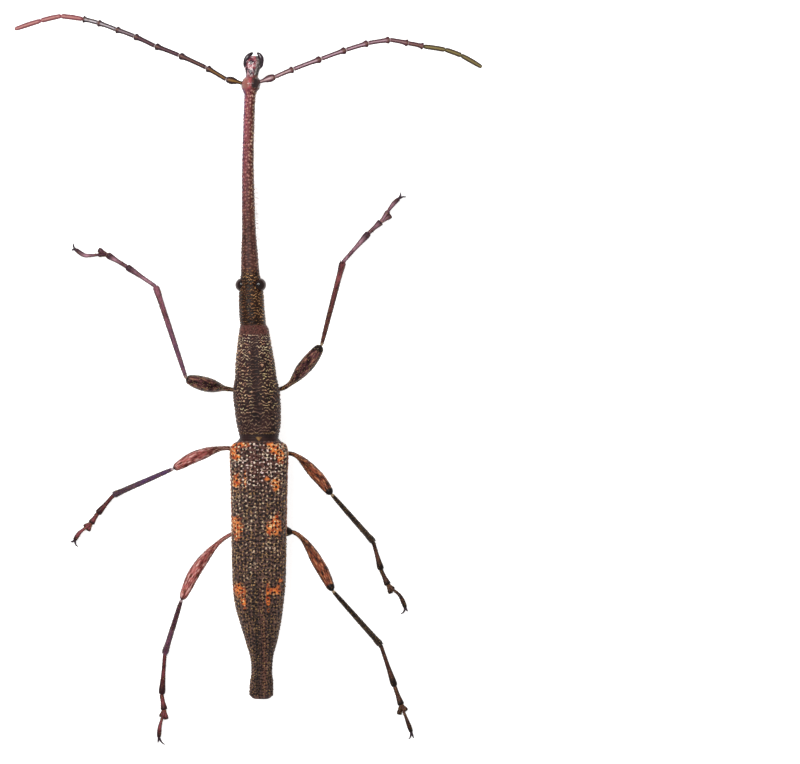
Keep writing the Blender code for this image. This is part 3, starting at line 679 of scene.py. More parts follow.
def scattered(row, beat, seed, closes=256):
    """Distance in cells to the nearest centre, one in each cell, and the draw of its cell."""
    nearest, drawn = np.full(row.shape, 9.0), np.zeros(row.shape)
    for step_row in (-1, 0, 1):
        for step_beat in (-1, 0, 1):
            cell = np.floor(row).astype(int) + step_row
            i = cell % closes
            own = beat + DRAWS[(i + seed + 200) % 256, 7]
            j = np.floor(own).astype(int) + step_beat
            aside = DRAWS[(i + seed) % 256, j % 256] - 0.5
            ahead = DRAWS[(i + seed + 77) % 256, (j + 31) % 256] - 0.5
            far = np.hypot(row - cell - 0.5 - SCATTER_ASIDE * aside,
                           SQUASH * (own - j - 0.5 - SCATTER_AHEAD * ahead))
            closer = far < nearest
            nearest = np.where(closer, far, nearest)
            drawn = np.where(closer, DRAWS[(i + seed + 150) % 256, (j + 97) % 256], drawn)
    return nearest, drawn


def row_relief(y, over, seed):
    """Grains where rows and beats cross, pits between them, and broken rims round the pits."""
    row = over / smooth(y, *ROW_PITCH)
    beat = 200 + np.cumsum(np.gradient(y, axis=0) / smooth(y, *BEAT_LENGTH), axis=0)
    beat = beat + 0.5 * noise(row * 0.4 + 30, row)
    sway = noise(y / 0.9 + 30 + seed, row * 0.5 + 50) - 0.5
    fine = noise(row * 1.9 + 12, beat * 1.7 + seed) - 0.5
    row = row + 0.25 * sway + 0.22 * fine
    beat = beat + 0.35 * (noise(row * 1.8 + 90, beat * 2.1 + seed) - 0.5)
    far, bright = scattered(row + 0.5, beat, seed)
    grain = bell(far, 0, GRAIN_RADIUS) * (0.6 + 0.4 * bright)
    far, cell = scattered(row, beat + 0.5, seed + 40)
    rim = bell(far, PIT_RADIUS * 1.35, RIM_WIDTH)
    rim = rim * stretch(noise(row * 1.6 + 5, beat * 1.6 + 70 + seed), 0.42, 0.75)
    return np.maximum(grain, 0.62 * rim), bright, bell(far, 0, PIT_RADIUS, 4), cell


def patch_strength(side, y, out, cell):
    """Soft ellipses of orange broken up cell by cell: the largest of the patches at a point."""
    wobble = 0.5 * (rough(y / 0.5 + 90, out / 0.4 + 20) - 0.5) + 0.7 * (cell - 0.5)
    far = [np.hypot((y - at) / half, (out - aside) / spread)
           for at, half, aside, spread in PATCHES[side]]
    return stretch(PATCH_REACH - np.min(far, axis=0) + wobble, 0, PATCH_SOFT)


def stripes(y, out, places):
    """Soft bands along the tail: each from one distance to another right of the midline."""
    tail = band(y, *TAIL_STRIPES, 2.0)
    return tail * sum(share * band(out, low, high, 0.15) for low, high, share in places)


def make_elytron(name, side):
    """One wing case: the sculptured outside and a smooth inside, as rings along the body."""
    y = np.linspace(-29.95, -5.72, 640)[:, None]
    x, z, over, width, top, edge = arch(y, 110)
    grain, bright, pit, cell = row_relief(y, over, 60 + 50 * side)
    fade = band(over, 0.02, over[:, -1:] - 0.05, 0.2) * band(y, -29.7, -5.85, 0.2)
    outer = stacked(side * x, y, z)
    normal = np.cross(np.gradient(outer, axis=1), np.gradient(outer, axis=0))
    normal /= np.linalg.norm(normal, axis=2, keepdims=True) + 1e-12
    normal *= np.sign(normal[:, :, 2].mean())
    outer = outer + normal * (fade * (GRAIN_HEIGHT * grain - PIT_DEPTH * pit))[:, :, None]
    wall = np.minimum(SHELL, 0.4 * (top - edge))
    turn = np.linspace(0, math.pi / 2, 14)
    inside = width - np.minimum(wall, 0.5 * width) - SUTURE
    inner = stacked(side * (SUTURE + inside * np.cos(turn) ** ARCH_POWER), y,
                    edge + (top - edge - wall) * np.sin(turn) ** ARCH_POWER)
    grid = np.hstack([outer, inner])
    grid[:, :, 0] += midline(y)
    flank = stretch(x / width, 0.95, 1.0) * band(y, -14.5, -5.0, 2.0)
    # Partly its own redder colour, partly a painted highlight: near the suture the front gets a
    # redder ground and pink grains.
    front = band(y, -9.5, -5.0, 3.0) * stretch(2.4 - x, 0.0, 2.0)
    cloud = stretch(noise(y / 1.3 + 70, x / 0.8 + 60 + 9 * side), 0.1, 0.9)
    # Painted shade: the grains of the right wing case dim towards its outer edge.
    shade = (1 - 0.5 * stretch(x / width, 0.45, 0.90)) if side > 0 else 1.0
    dusk, rust = (stripes(y, side * x, places) for places in (DUSK, RUST))
    # Painted highlight: the grains brighten along the front of the suture.
    seam = bell(x, 0.12, 0.22) * band(y, -9.0, -5.0, 1.0)
    bright = (0.27 + 0.62 * bright + 0.5 * seam) * smooth(y, *GRAIN_LIGHT)
    bright = bright * (0.70 + 0.30 * cloud) * shade * (1 - 0.5 * dusk)
    facts = {"grain": grain, "pit": pit, "patch": patch_strength(name, y, x, cell),
             "bright": bright, "flank": flank, "front": front, "dusk": dusk, "rust": rust}
    blank = np.zeros(inner.shape[:2])
    facts = {key: np.hstack([values * fade, blank]) for key, values in facts.items()}
    skin(f"elytron_{name}_skin", grid, ELYTRA_PAINT, [f"elytron_{name}"], facts)
    return grid, facts["grain"]


def elytra_paint():
    """Thick tanned chitin, satin from its grains: near black, pale grains, orange patches."""
    paint = Paint("granulate_wing_case_chitin", 0.5, Specular_IOR_Level=0.18)
    hue = paint.read((0.3, 0.6), 0.42, 0.58)
    warm = paint.over("#aa3c1c", ((0.28, 0.1), 0.40, 0.62, "#f48e42"))
    # pink: the colour of the front's grains, partly their own and partly a painted highlight.
    pink = paint.over("#c46a44", ("bright", 0.1, 0.8, paint.mix(hue, "#ffeccc", "#fce0e0")))
    amber = paint.over("#cf6a34", ("bright", 0.15, 0.60, "#fce0a6"))
    grains = paint.over(
        "#5a4030", ("bright", 0.02, 0.35, "#b88f5e"),
        ("bright", 0.35, 0.90, paint.mix(hue, "#fff2d0", "#f4d8c8")),
        ("front", 0, 1, pink), ("patch", 0, 1, amber))
    return paint.finish(paint.over(
        "#2d2121", ((0.2,), 0.43, 0.59, "#6c4e45"), ("dusk", 0, 1.5, "#1e1817"),
        ("rust", 0, 2.2, "#8a4c36"), ("front", 0, 1.4, "#56281e"), ("patch", 0, 1, warm),
        ("flank", 0, 1, "#96482c"), ("pit", 0.15, 0.9, "#1f1413"), ("grain", 0.26, 0.62, grains)),
        0.06, 0.01)


ELYTRA_PAINT = elytra_paint()
for name, side in SIDES.items():
    grid, density = make_elytron(name, side)
    spots = sown(grid, 26000, density ** 3 * 0.15, 8 + side)
    scales(f"elytron_{name}_scales", spots, 0.13, 0.05, GOLD_SCALES,
           seed=9 + side)
    print(name, "wing case points:", grid.shape[0] * grid.shape[1], "scales:", len(spots[0]))

# %% [markdown]
# ## Head and snout
#
# Head, snout and the swelling that carries the feelers are one capsule of cuticle, so one skin
# covers them all, from the neck to the broad end above the jaws. The head is creased like the
# prothorax, and the snout is beset with fine grains that are coarsest along its sides. The male
# has a thin beard of hairs on the lower side of his snout. A few longer ones stand out on its
# right side, drawn 0.065 mm wide, thicker than real ones, so that they can be seen.

# %% Head and snout
HEAD = [  # places, half widths, tops and bottoms
    [5.1, 5.8, 6.6, 7.4, 8.0, 8.6, 9.3, 10.0, 11.3, 12.2, 14.0, 17.0, 20.5, 23.0, 25.0, 26.7,
     27.0, 27.3, 27.76, 28.2, 28.5, 28.9, 29.4, 29.9, 30.3],
    [1.20, 1.19, 1.18, 1.16, 1.14, 1.00, 0.90, 0.86, 0.80, 0.75, 0.64, 0.58, 0.53, 0.51, 0.51,
     0.52, 0.60, 0.79, 0.91, 0.78, 0.58, 0.66, 0.81, 0.84, 0.50],
    [4.72, 4.74, 4.70, 4.62, 4.54, 4.46, 4.40, 4.32, 4.26, 4.22, 4.13, 4.05, 3.93, 3.85, 3.81,
     3.80, 3.86, 3.98, 4.04, 3.92, 3.78, 3.76, 3.72, 3.66, 3.50],
    [2.34, 2.30, 2.30, 2.36, 2.46, 2.54, 2.62, 2.70, 2.78, 2.84, 2.95, 2.95, 2.91, 2.87, 2.81,
     2.76, 2.66, 2.54, 2.48, 2.60, 2.74, 2.76, 2.80, 2.86, 3.02]]
HEAD_ENDS = (5.1, 30.3)
HEAD_PITCH = 0.32
GRAIN_PITCH = ([9.0, 14.0, 20.0], [0.27, 0.31, 0.38])
GRAINS_ROUND = 15
POLISHED_Y = 27.4  # the bulb of the feelers and the mouth parts beyond it are polished
EYE_RADIUS = 0.66
EYE_Y = 8.92
EYE_OUT = 0.80
EYE_Z = {"left": 3.42, "right": 3.86}  # the head is tipped a little to its left


def snout_grains(y, turn, seed):
    """Round grains scattered in cells: 15 round the snout, and 0.27 to 0.38 mm apart along it."""
    beat = 90 + np.cumsum(np.gradient(y, axis=0) / smooth(y, *GRAIN_PITCH), axis=0)
    row = turn / FULL_TURN * GRAINS_ROUND
    warp = noise(beat * 0.9 + seed, row * 2, 2 * GRAINS_ROUND) - 0.5
    far, drawn = scattered(row + 0.3 * warp, beat + 0.5 * warp, seed, GRAINS_ROUND)
    return bell(far, 0, 0.34) * (0.35 + 0.65 * drawn)


def make_head():
    """The capsule from neck to mouth, with creases, grains and a sunk ring round each eye."""
    y = np.concatenate([np.linspace(4.9, 10, 150), np.linspace(10.04, 26.6, 400),
                        np.linspace(26.64, 30.42, 100)])[:, None]
    turn = turns(96) - math.pi / 2
    grid = body_rings(y, turn, HEAD, HEAD_ENDS)
    over = grid[:, :, 0] - midline(y)
    on_head = band(y, 5.0, 10.2, 1.0)
    on_end = band(y, 28.6, 31.0, 0.3)
    # leftness runs from 0 on the right side to 1 on the left; the paint uses it for painted light
    # from the left.
    leftness = 0.5 - 0.5 * np.cos(turn)
    on_neck = stretch((20.5 + 4.5 * leftness - y) / (7.0 + 4.5 * leftness), 0.0, 1.0)
    crest, gleam = wrinkles(y, turn, HEAD_PITCH, 20)
    crest = crest * on_head
    grain = snout_grains(y, turn, 3) * (1 - on_end)
    brow = band(y, 9.2, 10.4, 0.9) * np.clip(np.sin(turn), 0, 1) ** 3
    gleam = np.maximum(gleam * stretch(over, -0.5, 0.35) * on_head, 0.8 * brow)
    dent = rough(y / 0.35 + 80, (over + 2) / 0.25) - 0.5
    relief = 0.05 * crest + grain * (0.03 + 0.03 * np.cos(turn) ** 2)
    relief = relief + on_end * (0.10 * dent - 0.07 * bell(over, 0.22, 0.07))
    for name, side in SIDES.items():
        eye = np.array([midline(EYE_Y) + side * EYE_OUT, EYE_Y, EYE_Z[name]])
        far = np.linalg.norm(grid - eye, axis=2)
        relief = relief + 0.05 * bell(far, 0.80, 0.07) - 0.05 * bell(far, 0.70, 0.05)
    closing = stretch(np.abs(y - np.clip(y, *HEAD_ENDS)), 0, 0.16) ** 2
    grid = raise_grid(grid, relief - 0.3 * closing)
    made = skin("head_and_snout_skin", grid, HEAD_PAINT,
                ["head", "rostrum", "rostrum_tip"],
                {"crest": crest, "grain": grain, "gleam": gleam, "leftness": leftness,
                 "bulb": band(y, 27.35, 28.35, 0.3), "head": on_head, "neck": on_neck,
                 "brow": brow, "mouth": on_end})
    made.data.materials.append(POLISHED_PAINT.material)
    for face in made.data.polygons:
        face.material_index = int(face.center[1] > POLISHED_Y * MM)
    return y, turn, grid, crest


def head_paint(name, roughness, level):
    """Tanned chitin again, wine red and mauve on the snout, nearly black on the head."""
    paint = Paint(name, roughness, Specular_IOR_Level=level)
    tone = paint.read((0.7,), 0.35, 0.65)
    blotch = paint.read((0.45, 0.4), 0.40, 0.60)
    # Painted light and shade: the snout, its grains and the bulb are paler and rosier towards the
    # left and darker towards the right.
    left = paint.over("#6a3430", ("leftness", 0.35, 0.75, "#9c5058"),
                      ("leftness", 0.78, 0.95, paint.mix(tone, "#463058", "#6a4c72")))
    grained = paint.over("#d8b89c", ("leftness", 0.20, 0.60, "#d48a8e"),
                         ((0.2, 0.2), 0.58, 0.68, "#d0a088"))
    red = paint.over("#1c0f10", ("leftness", 0.44, 0.54, "#bc4c56"))
    bulb = paint.over("#4a2622", ("leftness", 0.10, 0.20, red),
                      ("leftness", 0.62, 0.72, "#9a6a60"), ("leftness", 0.88, 0.96, "#3a1e2c"))
    bulb = paint.mix(blotch, bulb, paint.over("#341a18", ("leftness", 0.35, 0.60, "#a05e56")))
    neck = paint.over(paint.mix(tone, "#3a2220", "#54332c"),
                      ("grain", 0.10, 0.60, paint.over("#84594e", ("brow", 0, 1, "#d89664"))))
    head = paint.over(paint.mix(tone, "#190e08", "#311d12"), (
        "crest", 0.25, 0.75, paint.over("#825436", ("gleam", 0.25, 0.95, "#f4ba7e"))))
    # Painted highlights on the mouth plate: a grey sheen along its right side, and pale grey to
    # pink glints from noise.
    mouth = paint.over(
        "#1c1012", ("leftness", 0.12, 0.26, "#5e5450"),
        ("leftness", 0.30, 0.44, paint.mix(blotch, "#3c1e30", "#b0505a")),
        ("leftness", 0.74, 0.90, "#2c1826"),
        ((0.24, 0.7), 0.56, 0.66, paint.over("#8a8486", ("leftness", 0, 1, "#e0b0b8"))))
    # The snout's ground also takes the painted light of its left side.
    return paint.finish(paint.over(
        paint.mix(tone, "#38231f", "#5e3a33"), ("leftness", 0.12, 0.34, left),
        ((0.13, 0.5), 0.54, 0.64, "#3c1d1f"), ("grain", 0.15, 0.70, grained), ("bulb", 0, 1, bulb),
        ("neck", 0, 1, neck), ("head", 0, 1, head), ("mouth", 0, 1, mouth)), 0.05, 0.012)


HEAD_PAINT = head_paint("wine_brown_snout_chitin", 0.40, 0.12)
POLISHED_PAINT = head_paint("polished_mouth_chitin", 0.16, 0.50)
head_y, head_turn, head_grid, head_crest = make_head()
sparse = head_crest * 0.25 + 0.08 * band(head_y, 9.0, 27.0, 3.0)
spots = sown(head_grid, 5200, sparse, 21)
scales("head_scales", spots, 0.13, 0.042, GOLD_SCALES, seed=22)
print("scales on the head:", len(spots[0]))

# %% Beard
BEARD_TURNS = (0.9, 5.4)  # from straight below, on either side
from_below = head_turn + math.pi / 2
under = sum(bell(from_below, middle, 0.8) for middle in BEARD_TURNS)
roots, outward, back, places = sown(head_grid, 5200, under * band(head_y, 14.0, 26.0, 3.0), 23)
scales("snout_beard", (roots, outward, -back, places), 0.30, 0.016, BEARD_HAIR,
       tilt=0.9, seed=24)
flank = bell(head_turn, 0, 0.5) * band(head_y, 12.4, 18.6, 1.2)
spots = sown(head_grid, 900, flank, 25)
scales("snout_fringe", spots, 0.26, 0.065, FRINGE_HAIR, tilt=1.9, seed=26)
print("hairs in the beard and in the fringe:", len(roots), len(spots[0]))

# %% [markdown]
# ## Eyes and jaws
#
# The eyes are two polished domes of hundreds of lenses, sunk to a third in the sides of the
# head. A sphere from a grid of angles carries them, and the lenses are far too fine to model,
# so a cell pattern drawn at 0.045 mm, about twice the real size so that it can be seen, bumps
# the surface. The jaws are two little hooked shears of the hardest, glossiest cuticle.

# %% Eyes
LENS_CELL = 0.045
POLE = 0.02  # the first and last rings of the ball lie this angle from its poles


def eye_paint():
    """Lens cuticle is clear over black pigment: very smooth, dark, a painted red-brown sheen at
    its rim.
    """
    paint = Paint("polished_black_eye_chitin", 0.10, Specular_IOR_Level=0.32)
    place = paint.put("ShaderNodeTexCoord", "Object", {})
    feeds = {"Vector": place, "Scale": 1 / (LENS_CELL * MM)}
    paint.bump(paint.put("ShaderNodeTexVoronoi", "Distance", feeds), 0.006)
    # Painted sheen: red-brown where the dome turns away from the view.
    facing = paint.put("ShaderNodeLayerWeight", "Facing", {"Blend": 0.35})
    return paint.finish(paint.mix(facing, "#150807", "#4a1d15"))


def make_eye(name, side):
    """A ball from polar rings: radius times the sine and cosine of two angles."""
    polar = np.linspace(POLE, math.pi - POLE, 60)[:, None]
    out, turn = EYE_RADIUS * np.sin(polar), turns(72)
    grid = stacked(midline(EYE_Y) + side * EYE_OUT + out * np.cos(turn),
                   EYE_Y + EYE_RADIUS * np.cos(polar), EYE_Z[name] + out * np.sin(turn))
    skin(f"eye_{name}_dome", grid, EYE_PAINT, [f"eye_{name}"])


EYE_PAINT = eye_paint()
for name, side in SIDES.items():
    make_eye(name, side)
print("two eyes of radius", EYE_RADIUS, "mm")

# %% Tubes along a line
def sweep(line, wide, tall=None, count=40, up=(0.0, 0.0, 1.0)):
    """Rings round a line: level and upright half sizes times cosine and sine."""
    ahead = np.gradient(line, axis=0)
    ahead /= np.linalg.norm(ahead, axis=1, keepdims=True)
    level = np.cross(ahead, up)
    level /= np.linalg.norm(level, axis=1, keepdims=True)
    upright = np.cross(level, ahead)
    tall = wide if tall is None else tall
    turn = turns(count)[None, :, None]
    across = (level * wide[:, None])[:, None] * np.cos(turn)
    return line[:, None] + across + (upright * tall[:, None])[:, None] * np.sin(turn)


def taper(shares, places, sizes, nose=0.04, tail=0.04):
    """Half sizes at shares of a length, rounded off at both ends by a quarter circle."""
    ends = (1 - stretch(shares, 0, nose), 1 - stretch(1 - shares, 0, tail))
    rounded = np.prod([np.sqrt(1 - end ** 2 + 1e-4) for end in ends], axis=0)
    return smooth(shares, places, sizes) * rounded


# %% Jaws
JAW_Z = 3.36
JAW_ROUTE = [(0.62, 29.22), (0.76, 29.60), (0.72, 30.05), (0.52, 30.44), (0.18, 30.74)]
JAW_WIDTH = ([0, 0.3, 0.6, 0.85, 1.0], [0.12, 0.20, 0.24, 0.17, 0.08])


def make_jaw(name, side):
    """A hooked blade: a line that swings out and back in, flattened and drawn to a point."""
    shares = np.linspace(0, 1, 60)
    line = along([(midline(y) + side * x, y, JAW_Z) for x, y in JAW_ROUTE], shares)
    wide = taper(shares, *JAW_WIDTH, 0.05, 0.05)
    skin(f"mandible_{name}_blade", sweep(line, wide, wide * 0.8 + 0.01, 32), JAW_PAINT,
         [f"mandible_{name}"])


def jaw_paint():
    """The hardest chitin on the animal, black-brown and polished by use."""
    paint = Paint("polished_jaw_chitin", 0.27, 1.58, Specular_IOR_Level=0.4)
    return paint.finish(paint.over("#1a0f18", ((0.5,), 0.3, 0.7, "#3a2232")))


JAW_PAINT = jaw_paint()
for name, side in SIDES.items():
    make_jaw(name, side)
print("jaws reach y =", JAW_ROUTE[-1][1], "mm")

# %% [markdown]
# ## The underside
#
# Under the wing cases lie the rear thorax and the abdomen, whose plates overlap like roof
# sheets. One skin runs from a neck inside the prothorax, over the flanks that flare out to the
# shoulders, to the tip of the abdomen. It is an oval about the wing cases' lower edge, so that
# its sides tuck in under them. Each abdominal plate ends in a step that falls off over 1.4 mm.

# %% Underside
BELLY = [  # places, half widths, bottoms and tops
    [-29.93, -29.75, -28.5, -27.0, -26.2, -25.4, -24.2, -22.6, -20.0, -15.5, -12.0, -8.5, -6.9,
     -6.4, -5.9, -5.4, -5.0],
    [0.20, 0.60, 0.84, 0.78, 0.84, 1.02, 1.36, 1.78, 2.26, 2.44, 2.50, 2.55, 2.58, 2.46, 2.14,
     1.80, 1.60],
    [2.86, 2.80, 2.72, 2.66, 2.56, 2.34, 2.06, 1.80, 1.50, 1.22, 1.18, 1.36, 1.54, 1.66, 1.90,
     2.10, 2.30],
    [3.04, 3.10, 3.24, 3.40, 3.46, 3.60, 3.90, 4.20, 4.60, 4.70, 4.72, 4.70, 4.62, 4.66, 4.74,
     4.72, 4.60]]
PLATE_ENDS = [-26.4, -23.7, -21.9, -20.1, -17.9, -15.4, -10.4]
PLATE_SLOPE = 1.4
PLATE_STEP = 0.06
TUCK = 0.16
PIT_LUMP = 0.30
PITS_ROUND = 44
BELLY_PIT_DEPTH = 0.03


def make_underside():
    """Thorax and abdomen in one skin, with the steps between its plates and shallow pits."""
    y = np.linspace(-29.93, -5.0, 440)[:, None]
    turn = turns(150) - math.pi / 2
    width, bottom, top = sizes_at(y, BELLY)
    edge = smooth(y, ELYTRA[0], ELYTRA[3])
    x, z = oval(turn, 1.0, 1.0, -1.0)
    grid = stacked(x * width * (1 - TUCK * np.clip(z, 0, 1)) + midline(y), y,
                   edge + z * np.where(z > 0, top - edge, edge - bottom))
    step = sum(np.clip(1 - (y - end) / PLATE_SLOPE, 0, 1) * (y >= end) for end in PLATE_ENDS)
    below = np.broadcast_to(z < 0.1, grid.shape[:2])
    pits = noise(y / PIT_LUMP + 49, turn / FULL_TURN * PITS_ROUND, PITS_ROUND)
    pits = stretch(pits, 0.45, 0.85) * below
    skin("underside_skin", raise_grid(grid, PLATE_STEP * step * below - BELLY_PIT_DEPTH * pits),
         BELLY_PAINT, ["rear_thorax", "abdomen"], {"pit": pits})
    return grid, below


def belly_paint():
    """Underside chitin: smoother and glossier than the back, punched with shallow pits."""
    paint = Paint("pitted_brown_belly_chitin", 0.42, Specular_IOR_Level=0.2)
    return paint.finish(paint.over("#2a1b16", ((1.4,), 0.35, 0.65, "#47302a"),
                                   ("pit", 0, 1, "#1a100d")), 0.06, 0.01)


BELLY_PAINT = belly_paint()
grid, below = make_underside()
spots = sown(grid, 5000, below * 0.5, 31)
scales("underside_scales", spots, 0.15, 0.035, BRONZE_SCALES, seed=32)
print("scales on the underside:", len(spots[0]))

# %% [markdown]
# ## Hips and thighs
#
# A leg starts with a round coxa in its socket and a small trochanter. The thigh has a thin stalk
# and swells to a club beyond its middle, where the muscle of the shin sits, then narrows to a
# dark knee. The way of each leg is read off the picture at a few places, and the heights between
# the floor and the knee come from how beetles of this shape stand. Skins are swept along a smooth
# line through these places. The front thighs are dark with gold scales, the others red-brown.

# %% Places and colours of the legs
HIPS = {"front": (-1.05, 0.95, 1.62), "middle": (-7.0, 1.15, 1.38), "hind": (-14.1, 1.25, 1.26)}
HIP_RADIUS = 0.55
HIP_SHOWN = {"hind_right": 1.0}  # how much of the way to the body's side a large trochanter fills
CLUB_RADIUS = {"front": 0.70, "middle": 0.56, "hind": 0.57}
KNEE_Z = {"front": 4.7, "middle": 4.8, "hind": 4.9}
SIDE_Z = 1.72
CLUB_Z = 3.55
ANKLE_Z = 0.50

# Seen from above: the body's side, the club, the knee, the ankle and two more places along the
# foot, its two lobes, two places along the slim joint, and the tips of the two claws.
LEGS = {
    "front_left": [(-1.5, -0.9), (-3.95, -0.4), (-5.75, 0.1), (-8.7, 8.8), (-11.5, 10.7),
                   (-13.3, 11.8), (-14.13, 12.3), (-14.13, 11.83), (-15.2, 11.7), (-16.3, 12.3),
                   (-16.43, 12.86), (-16.55, 12.16)],
    "front_right": [(3.2, -0.8), (5.4, 1.3), (6.9, 3.2), (8.9, 11.1), (11.4, 13.9), (12.5, 14.9),
                    (13.2, 15.9), (13.47, 15.5), (13.6, 16.5), (14.2, 17.1), (14.3, 17.65),
                    (14.88, 17.23)],
    "middle_left": [(-2.0, -6.4), (-4.7, -7.1), (-6.95, -8.3), (-12.65, -10.8), (-14.2, -12.6),
                    (-14.8, -13.5), (-15.45, -13.85), (-15.12, -14.2), (-15.9, -14.4),
                    (-16.35, -15.1), (-16.71, -15.16), (-16.01, -15.68)],
    "middle_right": [(3.8, -6.9), (6.4, -8.9), (7.85, -10.7), (11.75, -15.2), (12.5, -17.9),
                     (13.15, -19.3), (13.43, -20.1), (13.66, -19.75), (14.27, -20.3),
                     (14.8, -21.45), (15.0, -21.74), (14.32, -22.02)],
    "hind_left": [(-1.8, -14.6), (-4.8, -17.75), (-6.2, -20.6), (-7.84, -25.7), (-8.14, -29.65),
                  (-7.9, -31.05), (-8.2, -31.75), (-7.72, -31.95), (-8.33, -32.7),
                  (-8.42, -33.65), (-8.52, -34.1), (-7.84, -34.3)],
    "hind_right": [(4.2, -14.3), (6.8, -17.5), (7.95, -19.75), (12.45, -24.9), (13.8, -28.9),
                   (14.4, -30.6), (14.18, -31.5), (14.88, -31.15), (15.0, -32.2),
                   (15.35, -33.15), (15.07, -33.8), (15.57, -33.7)],
}


def limb_paint(name, dark, light, knee, pit="#2a1813", upper=None, gloss=None):
    """Leg chitin: satin, streaked lengthwise, painted shade at its edges, its own colour at the
    knee.
    """
    paint = Paint(name, 0.36, Specular_IOR_Level=0.12)
    # The pale streaks take the gloss colour as a painted highlight, and the edges take the pit
    # colour as painted shade.
    return paint.finish(paint.over(
        dark, ((1.1,), 0.35, 0.65, light), ("upper", 0, 1, upper or dark),
        ("streak", 0.1, 1.2, gloss or light), ("streak", -0.1, -1.2, pit), ("edge", 0, 1, pit),
        ("dimple", 0.3, 1.5, pit), ("knee", 0, 1, knee)), 0.06, 0.01)


# Each name with its dark, light, knee, pit, upper and gloss colours; some parts need fewer.
LIMB_PAINTS = {key: limb_paint(*row) for key, row in {
    "thigh_front": ("dark_thigh_chitin", "#3c2226", "#683f42", "#1d1210", "#1e1211", None,
                    "#b07a66"),
    "thigh_left": ("rosy_thigh_chitin", "#9e4b47", "#cc7671", "#3a1c24", "#582826", "#6a3e34",
                   "#f6c4bc"),
    "thigh_right": ("tawny_thigh_chitin", "#6a3324", "#984e36", "#181010", "#2e1814", "#5c362a",
                    "#d48a62"),
    "hip_other": ("dark_hip_chitin", "#1c1210", "#2e1e19", "#1f1411"),
    "shin_front_left": ("mauve_shin_chitin", "#643a42", "#a26676", "#9a8078", "#341c26",
                        "#6e4a60"),
    "shin_front_right": ("wine_shin_chitin", "#4a2226", "#924e52", "#a58e72", "#220e18",
                         "#54302a"),
    "shin_middle_left": ("plum_shin_chitin", "#36262f", "#684a5c", "#c9b6bd", "#1b1018",
                         "#5e4068"),
    "shin_hind_left": ("purple_shin_chitin", "#3e1e32", "#7c4462", "#b09aa0", "#1c0c18",
                       "#4a2632"),
    "shin_other": ("black_brown_shin_chitin", "#251a17", "#54402f", "#a58e72", "#130d0c"),
    "foot_front": ("mauve_foot_chitin", "#583240", "#bc8c9c", "#442a34", "#2a1420"),
    "foot_left": ("wine_foot_chitin", "#501e22", "#9c4c56", "#341a1e", "#2a1016"),
    "foot_right": ("dark_foot_chitin", "#241715", "#5e3a30", "#1e1412", "#140c0b"),
}.items()}


def paint_of(part, leg):
    """The paint of a part of a leg: its own, or its pair's, or its side's, or the common one."""
    keys = [f"{part}_{key}" for key in (leg, *leg.split("_"), "other")]
    return LIMB_PAINTS[next(key for key in keys if key in LIMB_PAINTS)]


def hip_of(leg):
    """Where the coxa of a leg sits under the body, and the names of its pair and side."""
    pair, side = leg.split("_")
    y, out, z = HIPS[pair]
    return np.array([midline(y) + SIDES[side] * out, y, z]), pair, side


def limb_noise(shares, count, length, lump, lumps_round, seed):
    """Noise over a limb: lumps of a size in mm along it, and a number of them round it."""
    u = shares[:, None] * length / lump + seed
    return noise(u, np.arange(count) / count * lumps_round, lumps_round)


def dimples(shares, count, length, seed):
    """Shallow pits on a limb, from noise with lumps about a sixth of a millimetre long."""
    return stretch(limb_noise(shares, count, length, 0.16, 22, seed), 0.50, 0.90)


def streaks(shares, count, length, seed):
    """Pale and dark streaks along a limb, noise drawn out lengthwise; the pale ones are painted
    gloss.
    """
    return (limb_noise(shares, count, length, 0.42, 32, seed) - 0.5) * 3.4


def side_share(grid, power):
    """A power of the cosine round a limb: 0 along its top, 1 along its two sides."""
    return np.broadcast_to(np.abs(np.cos(turns(grid.shape[1]))) ** power, grid.shape[:2])


print("legs laid out:", len(LEGS), "in paints:", len(LIMB_PAINTS))

# %% Hips and thighs
THIGH_SWELL = ([0.0, 0.10, 0.30, 0.44, 0.58, 0.70, 0.84, 0.93, 0.97, 1.0],
               [0.16, 0.02, 0.12, 0.55, 0.92, 1.0, 0.86, 0.62, 0.48, 0.36])
THIGH_COUNT = 60
STALK_RADIUS = 0.18
STALK_TONE = {"hind_left": 0.25}  # how far a stalk takes the upper tone
KNEE_CAP = {"left": 0.985, "right": 0.94}
BARREL_RADIUS = ([0, 0.5, 1], [0.50, HIP_RADIUS, 0.40])


def make_thigh(leg):
    """A stalked club along a smooth line from hip to knee; returns its grid and its dimples."""
    hip, pair, side = hip_of(leg)
    body_side, club, knee = LEGS[leg][:3]
    shares = np.linspace(0, 1, 220)
    line = along([hip, (*body_side, SIDE_Z), (*club, CLUB_Z), (*knee, KNEE_Z[pair])], shares)
    length = np.linalg.norm(np.diff(line, axis=0), axis=1).sum()
    radius = STALK_RADIUS + (CLUB_RADIUS[pair] - STALK_RADIUS) * smooth(shares, *THIGH_SWELL)
    radius = taper(shares, [0.0, 1.0], [1.0, 1.0], 0.03, 0.05) * radius
    dimple = dimples(shares, THIGH_COUNT, length, 5) * band(shares, 0.2, 0.95, 0.1)[:, None]
    grid = raise_grid(sweep(line, radius, radius * 0.94, THIGH_COUNT), -0.03 * dimple)
    cap = KNEE_CAP[side]
    upper = (1 - stretch(shares, 0.42, 0.62)[:, None]) * STALK_TONE.get(leg, 1.0)
    # edge: painted shade along the thigh's two sides.
    skin(f"femur_{leg}_skin", grid, paint_of("thigh", leg), [f"femur_{leg}"],
         {"knee": stretch(shares, cap - 0.01, cap + 0.01)[:, None], "dimple": dimple,
          "streak": streaks(shares, THIGH_COUNT, length, 33), "edge": 0.75 * side_share(grid, 3),
          "upper": upper})
    return grid, dimple


